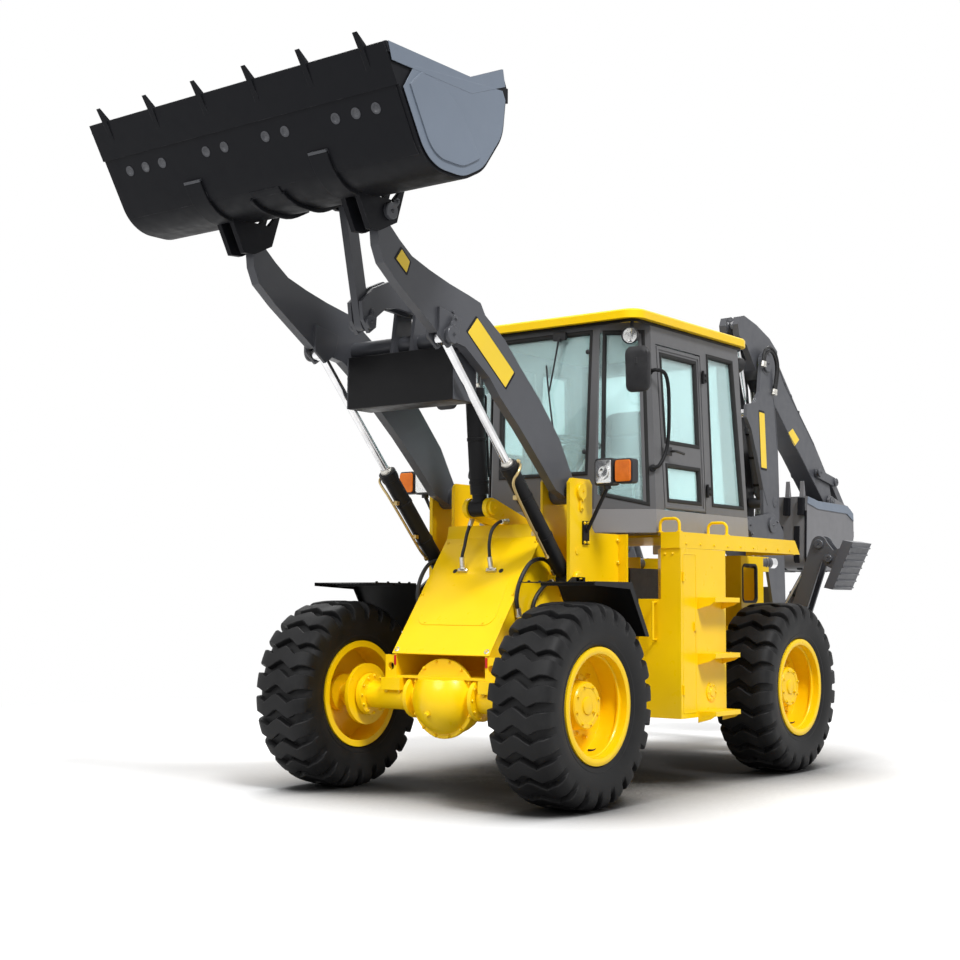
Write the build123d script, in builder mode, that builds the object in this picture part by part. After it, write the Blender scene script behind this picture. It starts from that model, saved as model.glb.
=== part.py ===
from build123d import *
import os

# A centre-articulated backhoe loader. It faces -Y, its left side is +X, Z is up and the wheels
# stand on z = 0. Millimetres throughout. Every y below is given as a distance behind the front
# axle, and fa() turns it into the part's own frame, whose origin is under the middle of the machine.

# ---- Driving dimensions ----
front_axle_y = -1880
wheelbase = 2577
half_track = 892
tyre_radius = 585
tyre_width = 410
rim_radius = 305
rim_width = 330
rim_flange_radius = 332
stub_radius = 60
pin_fit = 0.05          # radial clearance of a pin or shaft in its bore
side_gap = 6            # side clearance of an eye between two plates

pivot_y = wheelbase / 2
tie_down_radius = 24
tie_down_front = (385, 770)     # x and z
tie_down_rear = (200, 640)      # x and z
pivot_pin_radius = 35
frame_bottom = 700
plate_thickness = 18
front_plate_x = 340     # inner face of the front frame's side plates
tower_x = 530           # inner face of the tower's outer plate
tower_thickness = 25
tower_top = 1930
tower_step = 1600

arm_x = 470             # centre plane of the loader arms
arm_thickness = 60
arm_pivot = (600, 1850)
arm_pin_radius = 35
lift_base = (560, 1310)
lift_eye = (-674, 2650)
lift_barrel_radius = 50
lift_rod_radius = 25
bucket_pin = (-1214, 3239)
bucket_pin_radius = 32
bucket_half_width = 1105
bucket_wall = 14

tilt_base = (300, 1750)
tilt_pin_radius = 30
tilt_rod_radius = 25
rocker_pivot = (-370, 2920)
rocker_front = (-820, 2750)
rocker_rear = (190, 2950)
link_top = (-970, 3430)
rocker_pin_radius = 25
rocker_plate = 25
link_thickness = 50

deck_top = 1613
deck_thickness = 15
deck_half_width = 950
box_inner_x = 700
box_front = 1140
steer_cut = (805, 1285)   # x where the boxes' cut corner starts in front, y where it ends inside
box_top = 1510
box_bottom = 440

cab_sill = 1765
cab_top = 2985
cab_wall = 50
glass_thickness = 6
glass_gap = 0.3

swing_y = 3930
swing_pin_radius = 40
boom_pivot = (4000, 1797)
boom_top = (3992, 3124)
boom_lug = (3690, 2685)
boom_ram_base = (3600, 1780)
boom_pin_radius = 32
boom_half_width = 130
dipper_half_width = 85
dipper_tail = (3700, 3410)
dipper_ram_base = (4130, 1990)
dipper_end = (5270, 2060)
hoe_rocker_pivot = (5006, 2296)
hoe_rocker_end = (5361, 2238)
hoe_link_end = (5628, 1978)
bucket_ram_base = (4240, 3330)
hoe_bucket_half_width = 240

leg_y = 3455            # centre plane of the stabilizer legs
leg_pivot = (526, 680)  # x and z
leg_ram_pin = (850, 1610)
pad_pin = (937, 1499)
leg_ram_base = (385, 870)
leg_spacer = (625, 857)
leg_pin_radius = 28

os.makedirs("parts", exist_ok=True)


section_shift = 0       # how far a whole body is moved along the machine from its written places


def fa(y):
    """The part's own y of a place given as its distance behind the front axle."""
    return front_axle_y + y + section_shift


def side_points(points):
    """Side-view points (distance behind the front axle, height) in the part's own frame."""
    return [(fa(y), z) for y, z in points]


def side_face(x, outline, radius=0):
    """A closed side-view outline as a face in the plane x, its corners rounded if asked."""
    with BuildSketch(Plane.YZ.offset(x)) as face:
        with BuildLine():
            if radius:
                FilletPolyline(*side_points(outline), radius=radius, close=True)
            else:
                Polyline(*side_points(outline), close=True)
        make_face()
    return face.sketch


def round_face(x, centre, radius):
    """A disc in the plane x round a side-view point."""
    with BuildSketch(Plane.YZ.offset(x)) as face:
        with Locations((fa(centre[0]), centre[1])):
            Circle(radius)
    return face.sketch


def bar_face(x, start, end, radius):
    """A slot-shaped face in the plane x that joins two side-view points."""
    run = Vector(end[0] - start[0], end[1] - start[1])
    place = Plane(origin=(x, fa(start[0]), start[1]), x_dir=(0, run.X, run.Y), z_dir=(1, 0, 0))
    with BuildSketch(place) as face:
        with Locations((run.length / 2, 0)):
            SlotCenterToCenter(run.length, 2 * radius)
    return face.sketch


def plate(x0, x1, outline, radius=0, mode=Mode.ADD):
    """A plate between the planes x0 and x1 with a side-view outline."""
    extrude(side_face(x0, outline, radius), amount=x1 - x0, mode=mode)


def boss(x0, x1, centre, radius, mode=Mode.ADD):
    """A cylinder across the machine between x0 and x1, round a side-view point."""
    extrude(round_face(x0, centre, radius), amount=x1 - x0, mode=mode)


def bar(x0, x1, start, end, radius, mode=Mode.ADD):
    """A flat bar with round ends between the planes x0 and x1."""
    extrude(bar_face(x0, start, end, radius), amount=x1 - x0, mode=mode)


def block(x, y, z, mode=Mode.ADD):
    """A box given by its low and high x, y and z, y behind the front axle."""
    middle = (sum(x) / 2, fa(sum(y) / 2), sum(z) / 2)
    with Locations(middle):
        Box(x[1] - x[0], y[1] - y[0], z[1] - z[0], mode=mode)


def plan_face(z, outline):
    """A closed plan outline (x, distance behind the front axle) as a face at the height z."""
    with BuildSketch(Plane.XY.offset(z)) as face:
        with BuildLine():
            Polyline(*[(x, fa(y)) for x, y in outline], close=True)
        make_face()
    return face.sketch


def tube_run(start, end, radius, mode=Mode.ADD):
    """A round bar from one point (x, y, z) to another, y behind the front axle."""
    a = Vector(start[0], fa(start[1]), start[2])
    b = Vector(end[0], fa(end[1]), end[2])
    with BuildSketch(Plane(origin=a, z_dir=b - a)) as face:
        Circle(radius)
    extrude(face.sketch, amount=(b - a).length, mode=mode)


def tie_down(place, start, end):
    """Cuts a tie-down hole at an x and z between two depths."""
    tube_run((place[0], start, place[1]), (place[0], end, place[1]), tie_down_radius, Mode.SUBTRACT)


def along(start, end, distance):
    """The side-view point a distance from start towards end."""
    run = Vector(end[0] - start[0], end[1] - start[1])
    return (start[0] + run.X / run.length * distance, start[1] + run.Y / run.length * distance)


def span(start, end):
    """The distance between two side-view points."""
    return Vector(end[0] - start[0], end[1] - start[1]).length


def ram_barrel(x, width, base, end, radius, first, last, rod_radius, pin_radius):
    """A cylinder's barrel: its base eye, its tube and gland, and the bore its rod runs in."""
    a, b = along(base, end, first), along(base, end, last)
    g = along(base, end, last - 45)
    boss(x - width / 2, x + width / 2, base, pin_radius * 1.8)
    tube_run((x, *along(base, end, pin_radius * 1.2)), (x, *a), radius * 0.8)
    tube_run((x, *a), (x, *b), radius)
    tube_run((x, *g), (x, *b), radius * 1.12)
    tube_run((x, *a), (x, *b), rod_radius + pin_fit, mode=Mode.SUBTRACT)
    boss(x - width, x + width, base, pin_radius + pin_fit, mode=Mode.SUBTRACT)


def ram_rod(x, width, base, end, radius, inner, pin_radius):
    """A cylinder's rod from its inner end to the eye, which has a bore but no pin."""
    tube_run((x, *along(base, end, inner)), (x, *end), radius)
    boss(x - width / 2, x + width / 2, end, pin_radius * 1.8)
    boss(x - width, x + width, end, pin_radius + pin_fit, mode=Mode.SUBTRACT)


# ---- Wheels ----
# Tyre section: distance from the middle plane, radius.
tyre_section = [
    (rim_width / 2, rim_radius + 0.3), (rim_width / 2, rim_flange_radius + 2), (186, 352),
    (tyre_width / 2, 450), (200, 520), (160, 572),
]


def wheel_section(points, sign, axle_y):
    """A closed section in the plane that holds the axle, mirrored to the machine's other side."""
    with BuildSketch(Plane.XZ.offset(-fa(axle_y))) as face:
        with BuildLine():
            Polyline(*[(sign * (half_track + x), tyre_radius + r) for x, r in points], close=True)
        make_face()
    return face.sketch


# Each wheel: name, side, distance of its axle behind the front axle.
wheels = [
    ("front_left", 1, 0),
    ("front_right", -1, 0),
    ("rear_left", 1, wheelbase),
    ("rear_right", -1, wheelbase),
]
hub_bore_depth = 46
for wheel, sign, axle_y in wheels:
    spin = Axis((0, fa(axle_y), tyre_radius), (1, 0, 0))
    tread_edge = tyre_section + [(120, tyre_radius)]
    ring = tread_edge + [(-x, r) for x, r in reversed(tread_edge)]
    with BuildPart() as tyre:
        revolve(wheel_section(ring, sign, axle_y), axis=spin)
    tyre.part.label = f"tyre_{wheel}"
    export_step(tyre.part, f"parts/tyre_{wheel}.step")

    half = rim_width / 2
    lip = half + 19
    dish = [
        (-lip, rim_flange_radius), (-lip, rim_radius - 12), (-10, rim_radius - 12), (-10, 120),
        (-45, 120), (-45, stub_radius + pin_fit), (hub_bore_depth, stub_radius + pin_fit),
        (hub_bore_depth, 0), (98, 0), (98, 85), (70, 105), (14, 120), (8, 150), (8, rim_radius - 12),
        (lip, rim_radius - 12), (lip, rim_flange_radius), (half + 1, rim_flange_radius),
        (half + 1, rim_radius), (-half - 1, rim_radius), (-half - 1, rim_flange_radius),
    ]
    with BuildPart() as rim:
        revolve(wheel_section(dish, sign, axle_y), axis=spin)
    rim.part.label = f"rim_{wheel}"
    export_step(rim.part, f"parts/rim_{wheel}.step")

# ---- Axles ----
pad_x = (300, 450)
stub_end = half_track + hub_bore_depth - 2
for axle, axle_y in [("front_axle", 0), ("rear_axle", wheelbase)]:
    centre = (axle_y, tyre_radius)
    with BuildPart() as housing:
        with Locations((0, fa(axle_y), tyre_radius)):
            Sphere(222)
        boss(0, 600, centre, 85)
        boss(600, 640, centre, 130)
        boss(655, 675, centre, 190)
        boss(640, 790, centre, 95)
        boss(790, stub_end, centre, stub_radius)
        block(pad_x, (axle_y - 110, axle_y + 110), (tyre_radius + 40, frame_bottom))
        mirror(about=Plane.YZ)
        block((-300, 300), (axle_y - 300, axle_y + 300), (frame_bottom, 900), mode=Mode.SUBTRACT)
    housing.part.label = axle
    export_step(housing.part, f"parts/{axle}.step")

# ---- Front frame ----
cover_foot = Vector(-98, 850)
cover_knee = Vector(437, 1568)
cover_top = Vector(452, 1650)
cover_thickness = 8
slope = (cover_knee - cover_foot).normalized()
inward = Vector(slope.Y, -slope.X)
seat_foot = cover_foot + inward * (cover_thickness + 0.3)
seat_knee = cover_knee + inward * (cover_thickness + 0.3)
front_side = [
    (seat_foot.X, frame_bottom), (seat_foot.X, seat_foot.Y), (seat_knee.X, seat_knee.Y), (470, 1640),
    (470, tower_top - 20), (490, tower_top), (720, tower_top), (740, tower_top - 20),
    (740, tower_step), (1050, tower_step), (1050, 640), (800, 640), (740, frame_bottom),
]
tower_side = [
    (480, 1230), (480, tower_top - 30), (510, tower_top), (698, tower_top), (728, tower_top - 30),
    (728, tower_step + 30), (758, tower_step), (1050, tower_step), (1050, 1200), (640, 1200), (600, 1230),
]
tower_face = tower_x + tower_thickness
with BuildPart() as front_frame:
    plate(front_plate_x, front_plate_x + plate_thickness, front_side)
    plate(tower_x, tower_face, tower_side)
    block((front_plate_x, 619), (1032, 1050), (1200, tower_step))
    block((front_plate_x, tower_face), (660, 1040), (1200, 1218))
    boss(front_plate_x, tower_x + 5, arm_pivot, arm_pin_radius)
    boss(front_plate_x, tower_x + 5, lift_base, arm_pin_radius - 5)
    block((front_plate_x, 430), (seat_foot.X, seat_foot.X + 30), (frame_bottom, 840))
    tie_down(tie_down_front, seat_foot.X - 5, seat_foot.X + 35)
    mirror(about=Plane.YZ)
    block((-front_plate_x, front_plate_x), (seat_foot.X + 10, 1050), (frame_bottom, frame_bottom + 16))
    block((-front_plate_x, front_plate_x), (1030, 1050), (640, tower_step))
    block((-front_plate_x, front_plate_x), (seat_knee.X + 30, 740), (1590, 1640))
    for low, high in [(640, 670), (1040, 1070)]:
        block((-90, 90), (1040, pivot_y), (low, high))
        with BuildSketch(Plane.XY.offset(low)) as lug_end:
            with Locations((0, fa(pivot_y))):
                Circle(90)
        extrude(lug_end.sketch, amount=high - low)
    for low, high in [(630, 712), (998, 1080)]:
        with BuildSketch(Plane.XY.offset(low)) as pivot_pin:
            with Locations((0, fa(pivot_y))):
                Circle(pivot_pin_radius)
        extrude(pivot_pin.sketch, amount=high - low)
    for x in (-92, 62):
        plate(x, x + 30, [(300, 1690), (470, 1652), (474, 1600), (700, 1600), (700, 1690), (330, 1808)])
        boss(x, x + 30, tilt_base, 62)
    boss(-70, 70, tilt_base, tilt_pin_radius)
front_frame.part.label = "front_frame"
export_step(front_frame.part, "parts/front_frame.step")

with BuildPart() as front_cover:
    sheet = [cover_foot, cover_knee, cover_top, cover_top + Vector(cover_thickness, 0),
             cover_knee + inward * cover_thickness, cover_foot + inward * cover_thickness]
    plate(-372, 372, [(p.X, p.Y) for p in sheet])
front_cover.part.label = "front_cover"
export_step(front_cover.part, "parts/front_cover.step")

with BuildPart() as front_fenders:
    skin = [(-50, 1284), (346, 1284), (535, 976), (535, 966), (529, 966), (342, 1278), (-50, 1278)]
    plate(tower_face + 0.3, 1080, skin)
    lip = [(-50, 1284), (346, 1284), (535, 976), (500, 966), (325, 1244), (-50, 1262)]
    plate(1074, 1080, lip)
    bracket = [(368, 1240), (420, 1155), (620, 1236), (620, 1320), (500, 1320)]
    plate(tower_face + 0.3, tower_face + 20, bracket)
    mirror(about=Plane.YZ)
front_fenders.part.label = "front_fenders"
export_step(front_fenders.part, "parts/front_fenders.step")

lamp_y = 640
with BuildPart() as headlamps:
    block((tower_face + 0.3, tower_face + 12), (610, 680), (1520, 1670))
    tube_run((tower_face + 14, 645, 1600), (725, lamp_y, 1885), 12)
    block((650, 925), (lamp_y - 45, lamp_y + 45), (1880, 2050))
    mirror(about=Plane.YZ)
headlamps.part.label = "headlamps"
export_step(headlamps.part, "parts/headlamps.step")

# ---- Loader arms, bucket and tilt linkage ----
arm_inner = arm_x - arm_thickness / 2
arm_outer = arm_x + arm_thickness / 2
# The arm's side outline: distance behind the front axle, height.
arm_outline = [
    (-1190, 3200), (-1083, 3114), (-980, 3045), (-825, 2995), (-646, 2948), (-462, 2910), (-360, 2885),
    (-315, 2820), (-123, 2703), (80, 2520), (237, 2387), (452, 2162), (562, 1984), (660, 1830),
    (540, 1800), (409, 1850), (238, 2010), (31, 2197), (-170, 2360), (-268, 2460), (-500, 2610),
    (-732, 2645), (-908, 2758), (-1079, 2868), (-1212, 2970), (-1255, 3060), (-1270, 3190),
]
beam = ((-490, -285), (2320, 2630))
beam_half_width = 408
with BuildPart() as loader_arms:
    plate(arm_inner, arm_outer, arm_outline)
    boss(arm_inner, arm_outer, bucket_pin, 72)
    boss(front_plate_x + plate_thickness + side_gap, tower_x - side_gap, arm_pivot, 76)
    eye_travel = (lift_eye[0] - 60, lift_eye[1] - 60)
    bar(arm_inner - 1, arm_outer + 1, lift_eye, eye_travel, 62, mode=Mode.SUBTRACT)
    bar(arm_inner - 1, arm_outer + 1, lift_eye, along(lift_eye, lift_base, 60), 40, mode=Mode.SUBTRACT)
    plate(arm_inner - 18, arm_inner, [(-760, 2640), (-674, 2580), (-590, 2640), (-560, 2760), (-760, 2800)])
    plate(arm_outer, arm_outer + 18, [(-760, 2640), (-674, 2580), (-590, 2640), (-560, 2760), (-760, 2800)])
    boss(arm_outer, arm_outer + 34, lift_eye, 45)
    boss(arm_inner - 18, arm_inner, lift_eye, 45)
    block((0, beam_half_width), *beam)
    block((0, arm_inner), (beam[0][0] + 30, beam[0][1] - 20), (2595, beam[1][1]))
    boss(0, arm_inner, (-387, 2690), 50)
    boss(arm_inner - 1, arm_outer + 40, bucket_pin, bucket_pin_radius + pin_fit, mode=Mode.SUBTRACT)
    boss(front_plate_x, tower_x, arm_pivot, arm_pin_radius + pin_fit, mode=Mode.SUBTRACT)
    plate(62, 87, [(-480, 2620), (-300, 2620), (-310, 2960), (-430, 2960)])
    boss(62, 87, rocker_pivot, 60)
    boss(0, 87, rocker_pivot, rocker_pin_radius + 3)
    mirror(about=Plane.YZ)
    inside = (-beam_half_width + 12, beam_half_width - 12)
    block(inside, (beam[0][0] + 12, beam[0][1]), (beam[1][0] + 12, beam[1][1] - 12), mode=Mode.SUBTRACT)
loader_arms.part.label = "loader_arms"
export_step(loader_arms.part, "parts/loader_arms.step")

edge = Vector(-1908, 3836)
floor_corner = Vector(-1592, 3290)
bucket_shape = [
    (edge.X, edge.Y), (floor_corner.X, floor_corner.Y), (-1300, 3292), (-1130, 3380), (-960, 3600),
    (-925, 3870),
]
bucket_bend = 240
down = (floor_corner - edge).normalized()
outside = Vector(down.Y, -down.X)


def floor_point(distance, proud):
    """A side-view point on the bucket's floor, below its edge and proud of its outer face."""
    p = edge + down * distance + outside * proud
    return (p.X, p.Y)


def inset(points, wall):
    """The same open outline moved inwards by a wall, each corner on the mitre."""
    moved = []
    for i, p in enumerate(points):
        here = Vector(*p)
        into = (here - Vector(*points[i - 1])).normalized() if i else None
        out = (Vector(*points[i + 1]) - here).normalized() if i + 1 < len(points) else None
        first, second = into or out, out or into
        normal = (Vector(-first.Y, first.X) + Vector(-second.Y, second.X)).normalized()
        step = wall / normal.dot(Vector(-first.Y, first.X))
        moved.append(((here + normal * step).X, (here + normal * step).Y))
    return moved


def shell_face(x, points, wall, bend):
    """An open bent sheet as a face in the plane x: its outer line, its inner line, both ends."""
    outer = side_points(points)
    inner = side_points(inset(points, wall))
    with BuildSketch(Plane.YZ.offset(x)) as face:
        with BuildLine():
            FilletPolyline(*outer, radius=bend)
            FilletPolyline(*inner, radius=bend - wall)
            Line(outer[0], inner[0])
            Line(outer[-1], inner[-1])
        make_face()
    return face.sketch


def bucket_end(x, points, rim_points, bend):
    """A bucket's side plate as a face in the plane x."""
    with BuildSketch(Plane.YZ.offset(x)) as face:
        with BuildLine():
            FilletPolyline(*side_points(points), radius=bend)
            Polyline(*side_points([points[-1]] + rim_points + [points[0]]))
        make_face()
    return face.sketch


tooth_x = [957, 574, 191]
tooth_half = 16
lug_x = [arm_inner - side_gap - 30, arm_outer + side_gap]
with BuildPart() as loader_bucket:
    extrude(shell_face(0, bucket_shape, bucket_wall, bucket_bend), amount=bucket_half_width - 20)
    ends = bucket_end(bucket_half_width - 22, bucket_shape, [(-970, 3965), (-1253, 3842)], bucket_bend)
    extrude(ends, amount=14)
    plate(bucket_half_width - 10, bucket_half_width,
          [(-1890, 3790), (edge.X, edge.Y), (-1253, 3842), (-925, 3870), (-925, 3790), (-1253, 3760)])
    plate(0, bucket_half_width - 8,
          [floor_point(0, 0), floor_point(210, 0), floor_point(210, 12), floor_point(0, 12)])
    for x in tooth_x:
        plate(x - tooth_half, x + tooth_half,
              [floor_point(-78, 27), floor_point(220, 4), floor_point(220, -2), floor_point(0, -10)])
    for x in lug_x:
        plate(x, x + 30, [(-1470, 3303), (-1368, 3115), (-1285, 3122), (-1150, 3190), (-1075, 3420),
                          (-1180, 3300)])
        boss(x, x + 30, bucket_pin, 66)
    boss(lug_x[0], lug_x[1] + 30, bucket_pin, bucket_pin_radius)
    plate(31, 56, [(-1105, 3430), (-1060, 3385), (-1000, 3375), (-925, 3385), (-905, 3450), (-960, 3560),
                   (-1008, 3551)])
    mirror(about=Plane.YZ)
loader_bucket.part.label = "loader_bucket"
export_step(loader_bucket.part, "parts/loader_bucket.step")

rocker_x = link_thickness / 2 + side_gap
rocker_outline = [
    (-875, 2760), (-890, 2865), (-785, 2956), (-610, 3033), (-370, 3010), (190, 3012), (250, 2950),
    (190, 2888), (-340, 2855), (-563, 2870), (-679, 2852), (-760, 2790), (-765, 2730), (-820, 2690),
]
with BuildPart() as bucket_rocker:
    plate(rocker_x, rocker_x + rocker_plate, rocker_outline)
    mirror(about=Plane.YZ)
    boss(-rocker_x - rocker_plate, rocker_x + rocker_plate, rocker_pivot, 48)
    boss(-rocker_x - rocker_plate, rocker_x + rocker_plate, rocker_front, rocker_pin_radius)
    boss(-100, 100, rocker_pivot, rocker_pin_radius + 3 + pin_fit, mode=Mode.SUBTRACT)
    boss(-100, 100, rocker_rear, rocker_pin_radius + pin_fit, mode=Mode.SUBTRACT)
bucket_rocker.part.label = "bucket_rocker"
export_step(bucket_rocker.part, "parts/bucket_rocker.step")

with BuildPart() as bucket_link:
    bar(-link_thickness / 2, link_thickness / 2, rocker_front, link_top, 44)
    for eye in (rocker_front, link_top):
        boss(-60, 60, eye, rocker_pin_radius + pin_fit, mode=Mode.SUBTRACT)
bucket_link.part.label = "bucket_link"
export_step(bucket_link.part, "parts/bucket_link.step")

with BuildPart() as lift_barrels:
    for x in (arm_x, -arm_x):
        ram_barrel(x, 80, lift_base, lift_eye, lift_barrel_radius, 75, 900, lift_rod_radius,
                   arm_pin_radius - 5)
lift_barrels.part.label = "lift_barrels"
export_step(lift_barrels.part, "parts/lift_barrels.step")
with BuildPart() as lift_rods:
    for x in (arm_x, -arm_x):
        ram_rod(x, 46, lift_base, lift_eye, lift_rod_radius, 770, 28)
lift_rods.part.label = "lift_rods"
export_step(lift_rods.part, "parts/lift_rods.step")

with BuildPart() as tilt_barrel:
    ram_barrel(0, 112, tilt_base, rocker_rear, 58, 85, 750, tilt_rod_radius, tilt_pin_radius)
tilt_barrel.part.label = "tilt_barrel"
export_step(tilt_barrel.part, "parts/tilt_barrel.step")
with BuildPart() as tilt_rod:
    ram_rod(0, 50, tilt_base, rocker_rear, tilt_rod_radius, 440, rocker_pin_radius)
tilt_rod.part.label = "tilt_rod"
export_step(tilt_rod.part, "parts/tilt_rod.step")

# ---- Rear frame ----
# Everything from here on belongs to the rear body. Its places are written for a pivot this far
# behind the front axle, and the whole body moves back or forwards with the pivot.
drawn_pivot_y = 1288.5
section_shift = pivot_y - drawn_pivot_y
carrier = (3370, 3522)  # the two cross plates that hold the stabilizer legs
rear_plate = (282, 300)
with BuildPart() as rear_frame:
    plate(*rear_plate, [(1440, frame_bottom), (carrier[1], frame_bottom), (carrier[1], 1000), (1440, 1060)])
    plate(535, 555, [(2700, 1000), (2700, 1510), (3060, 1510), (3060, 1000)])
    extrude(side_face(530, [(2735, 1180), (2735, 1440), (2950, 1440), (2950, 1180)], 30), amount=30,
            mode=Mode.SUBTRACT)
    block((300, 555), (2700, 2715), (1000, 1510))
    block((0, 555), (3045, 3060), (frame_bottom, 1510))
    for y in carrier:
        block((0, 620), (y, y + 18), (560, 1130))
    tie_down(tie_down_rear, carrier[1] - 5, carrier[1] + 25)
    block((0, 330), (carrier[0], carrier[1]), (560, 580))
    block((0, 330), (carrier[0], carrier[1]), (1110, 1130))
    block((300, 700), (1500, 1600), (760, 860))
    for (x, z), radius in [(leg_pivot, leg_pin_radius), (leg_ram_base, 22)]:
        tube_run((x, carrier[0], z), (x, carrier[1] + 18, z), radius)
    tube_run((500, 2900, 1470), (500, 3330, 1470), 42)
    block((470, 530), (3045, 3200), (1400, 1510))
    mirror(about=Plane.YZ)
    block((-300, 300), (1440, 1460), (frame_bottom, 1060))
    block((-300, 300), (1440, 3380), (frame_bottom, frame_bottom + 14))
    for low, high in [(676, 706), (1004, 1034)]:
        block((-90, 90), (drawn_pivot_y, 1450), (low, high))
        with BuildSketch(Plane.XY.offset(low)) as lug_end:
            with Locations((0, fa(drawn_pivot_y))):
                Circle(90)
        extrude(lug_end.sketch, amount=high - low)
    with BuildSketch(Plane.XY.offset(600)) as pivot_bore:
        with Locations((0, fa(drawn_pivot_y))):
            Circle(pivot_pin_radius + pin_fit)
    extrude(pivot_bore.sketch, amount=500, mode=Mode.SUBTRACT)
    for low, high in [(700, 740), (1075, 1115)]:
        block((-150, 150), (carrier[1], 3700), (low, high))
        block((-95, 95), (3700, swing_y), (low, high))
        with BuildSketch(Plane.XY.offset(low)) as swing_end:
            with Locations((0, fa(swing_y))):
                Circle(95)
        extrude(swing_end.sketch, amount=high - low)
    with BuildSketch(Plane.XY.offset(690)) as swing_pin:
        with Locations((0, fa(swing_y))):
            Circle(swing_pin_radius)
    extrude(swing_pin.sketch, amount=435)
rear_frame.part.label = "rear_frame"
export_step(rear_frame.part, "parts/rear_frame.step")

with BuildPart() as engine:
    block((-270, 270), (1640, 2300), (frame_bottom + 120, 1400))
    block((-281.7, 281.7), (1700, 2240), (900, 960))
engine.part.label = "engine"
export_step(engine.part, "parts/engine.step")

step_heights = [480, 845, 1200]
lower_box_x = 640       # the boxes reach further in below the towers' sweep
lower_box_top = 1190
with BuildPart() as side_boxes:
    box_plan = [(deck_half_width, box_front), (steer_cut[0], box_front), (box_inner_x, steer_cut[1]),
                (box_inner_x, 1730), (deck_half_width, 1730)]
    extrude(plan_face(box_bottom, box_plan), amount=box_top - box_bottom)
    block((lower_box_x, steer_cut[0]), (box_front, steer_cut[1] + 15), (box_bottom, lower_box_top))
    for z in step_heights:
        block((deck_half_width - 5, 1080), (1350, 1680), (z - 30, z))
    mirror(about=Plane.YZ)
side_boxes.part.label = "side_boxes"
export_step(side_boxes.part, "parts/side_boxes.step")

hoop_places = [1170, 1800]
with BuildPart() as deck:
    plate(deck_half_width - 15, deck_half_width,
          [(1130, 1510), (1130, deck_top), (2775, deck_top), (2855, 1515)])
    deck_plan = [(0, 1470), (box_inner_x, 1470), (box_inner_x, steer_cut[1]), (steer_cut[0] + 7, 1130),
                 (deck_half_width, 1130), (deck_half_width, 2775), (0, 2775)]
    extrude(plan_face(deck_top - deck_thickness, deck_plan), amount=deck_thickness)
    block((steer_cut[0] + 7, deck_half_width), (1130, 1145), (1510, deck_top))
    block((570, deck_half_width), (2755, 2775), (1510, deck_top))
    for y in hoop_places:
        with BuildLine() as hoop:
            FilletPolyline((785, fa(y), deck_top - 5), (785, fa(y), 1700), (925, fa(y), 1700),
                           (925, fa(y), deck_top - 5), radius=40)
        with BuildSketch(Plane(origin=hoop.line @ 0, z_dir=hoop.line % 0)) as hoop_section:
            Circle(10)
        sweep(hoop_section.sketch, path=hoop.line)
    mirror(about=Plane.YZ)
deck.part.label = "deck"
export_step(deck.part, "parts/deck.step")

# ---- Cab ----
# Half of the cab's plan at its foot and at its top: x, distance behind the front axle.
cab_foot_plan = [(409, 962), (757, 1174), (757, 2440), (690, 2510)]
cab_top_plan = [(425, 1020), (705, 1190), (705, 2390), (640, 2450)]


def cab_plan(height, shrink, corners_low, corners_high):
    """The cab's plan at a height, drawn in by a wall, between its foot plan and its top plan."""
    share = (height - deck_top) / (cab_top - deck_top)
    half = [(a[0] + (b[0] - a[0]) * share, a[1] + (b[1] - a[1]) * share)
            for a, b in zip(corners_low, corners_high)]
    with BuildSketch(Plane.XY.offset(height)) as plan:
        with BuildLine():
            right = [(-x, fa(y)) for x, y in reversed(half)]
            Polyline(*[(x, fa(y)) for x, y in half], *right, close=True)
        make_face()
        if shrink:
            offset(amount=-shrink, kind=Kind.INTERSECTION)
    return plan.sketch


def cab_layer(low, high, outer, inner):
    """The part of the cab's wall between two heights and between two depths from its outside."""
    with BuildPart() as layer:
        for depth, mode in ((outer, Mode.ADD), (inner, Mode.SUBTRACT)):
            foot = cab_plan(low, depth, cab_foot_plan, cab_top_plan)
            head = cab_plan(high, depth, cab_foot_plan, cab_top_plan)
            loft([foot.face(), head.face()], ruled=True, mode=mode)
    return layer.part


def side_prism(outline, grow):
    """A prism right through both cab sides with a side-view outline, grown or shrunk."""
    with BuildPart() as prism:
        for x in (600, -800):
            with BuildSketch(Plane.YZ.offset(x)) as face:
                with BuildLine():
                    Polyline(*side_points(outline), close=True)
                make_face()
                if grow:
                    offset(amount=grow, kind=Kind.INTERSECTION)
            extrude(face.sketch, amount=200)
    return prism.part


def end_prism(y, half_low, half_high, low, high, grow):
    """A prism along the machine at a distance behind the front axle, for a front or rear pane."""
    with BuildPart() as prism:
        with BuildSketch(Plane.XZ.offset(-fa(y))) as face:
            with BuildLine():
                Polyline((-half_low, low), (half_low, low), (half_high, high), (-half_high, high),
                         close=True)
            make_face()
            if grow:
                offset(amount=grow, kind=Kind.INTERSECTION)
        extrude(face.sketch, amount=170)
    return prism.part


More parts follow.
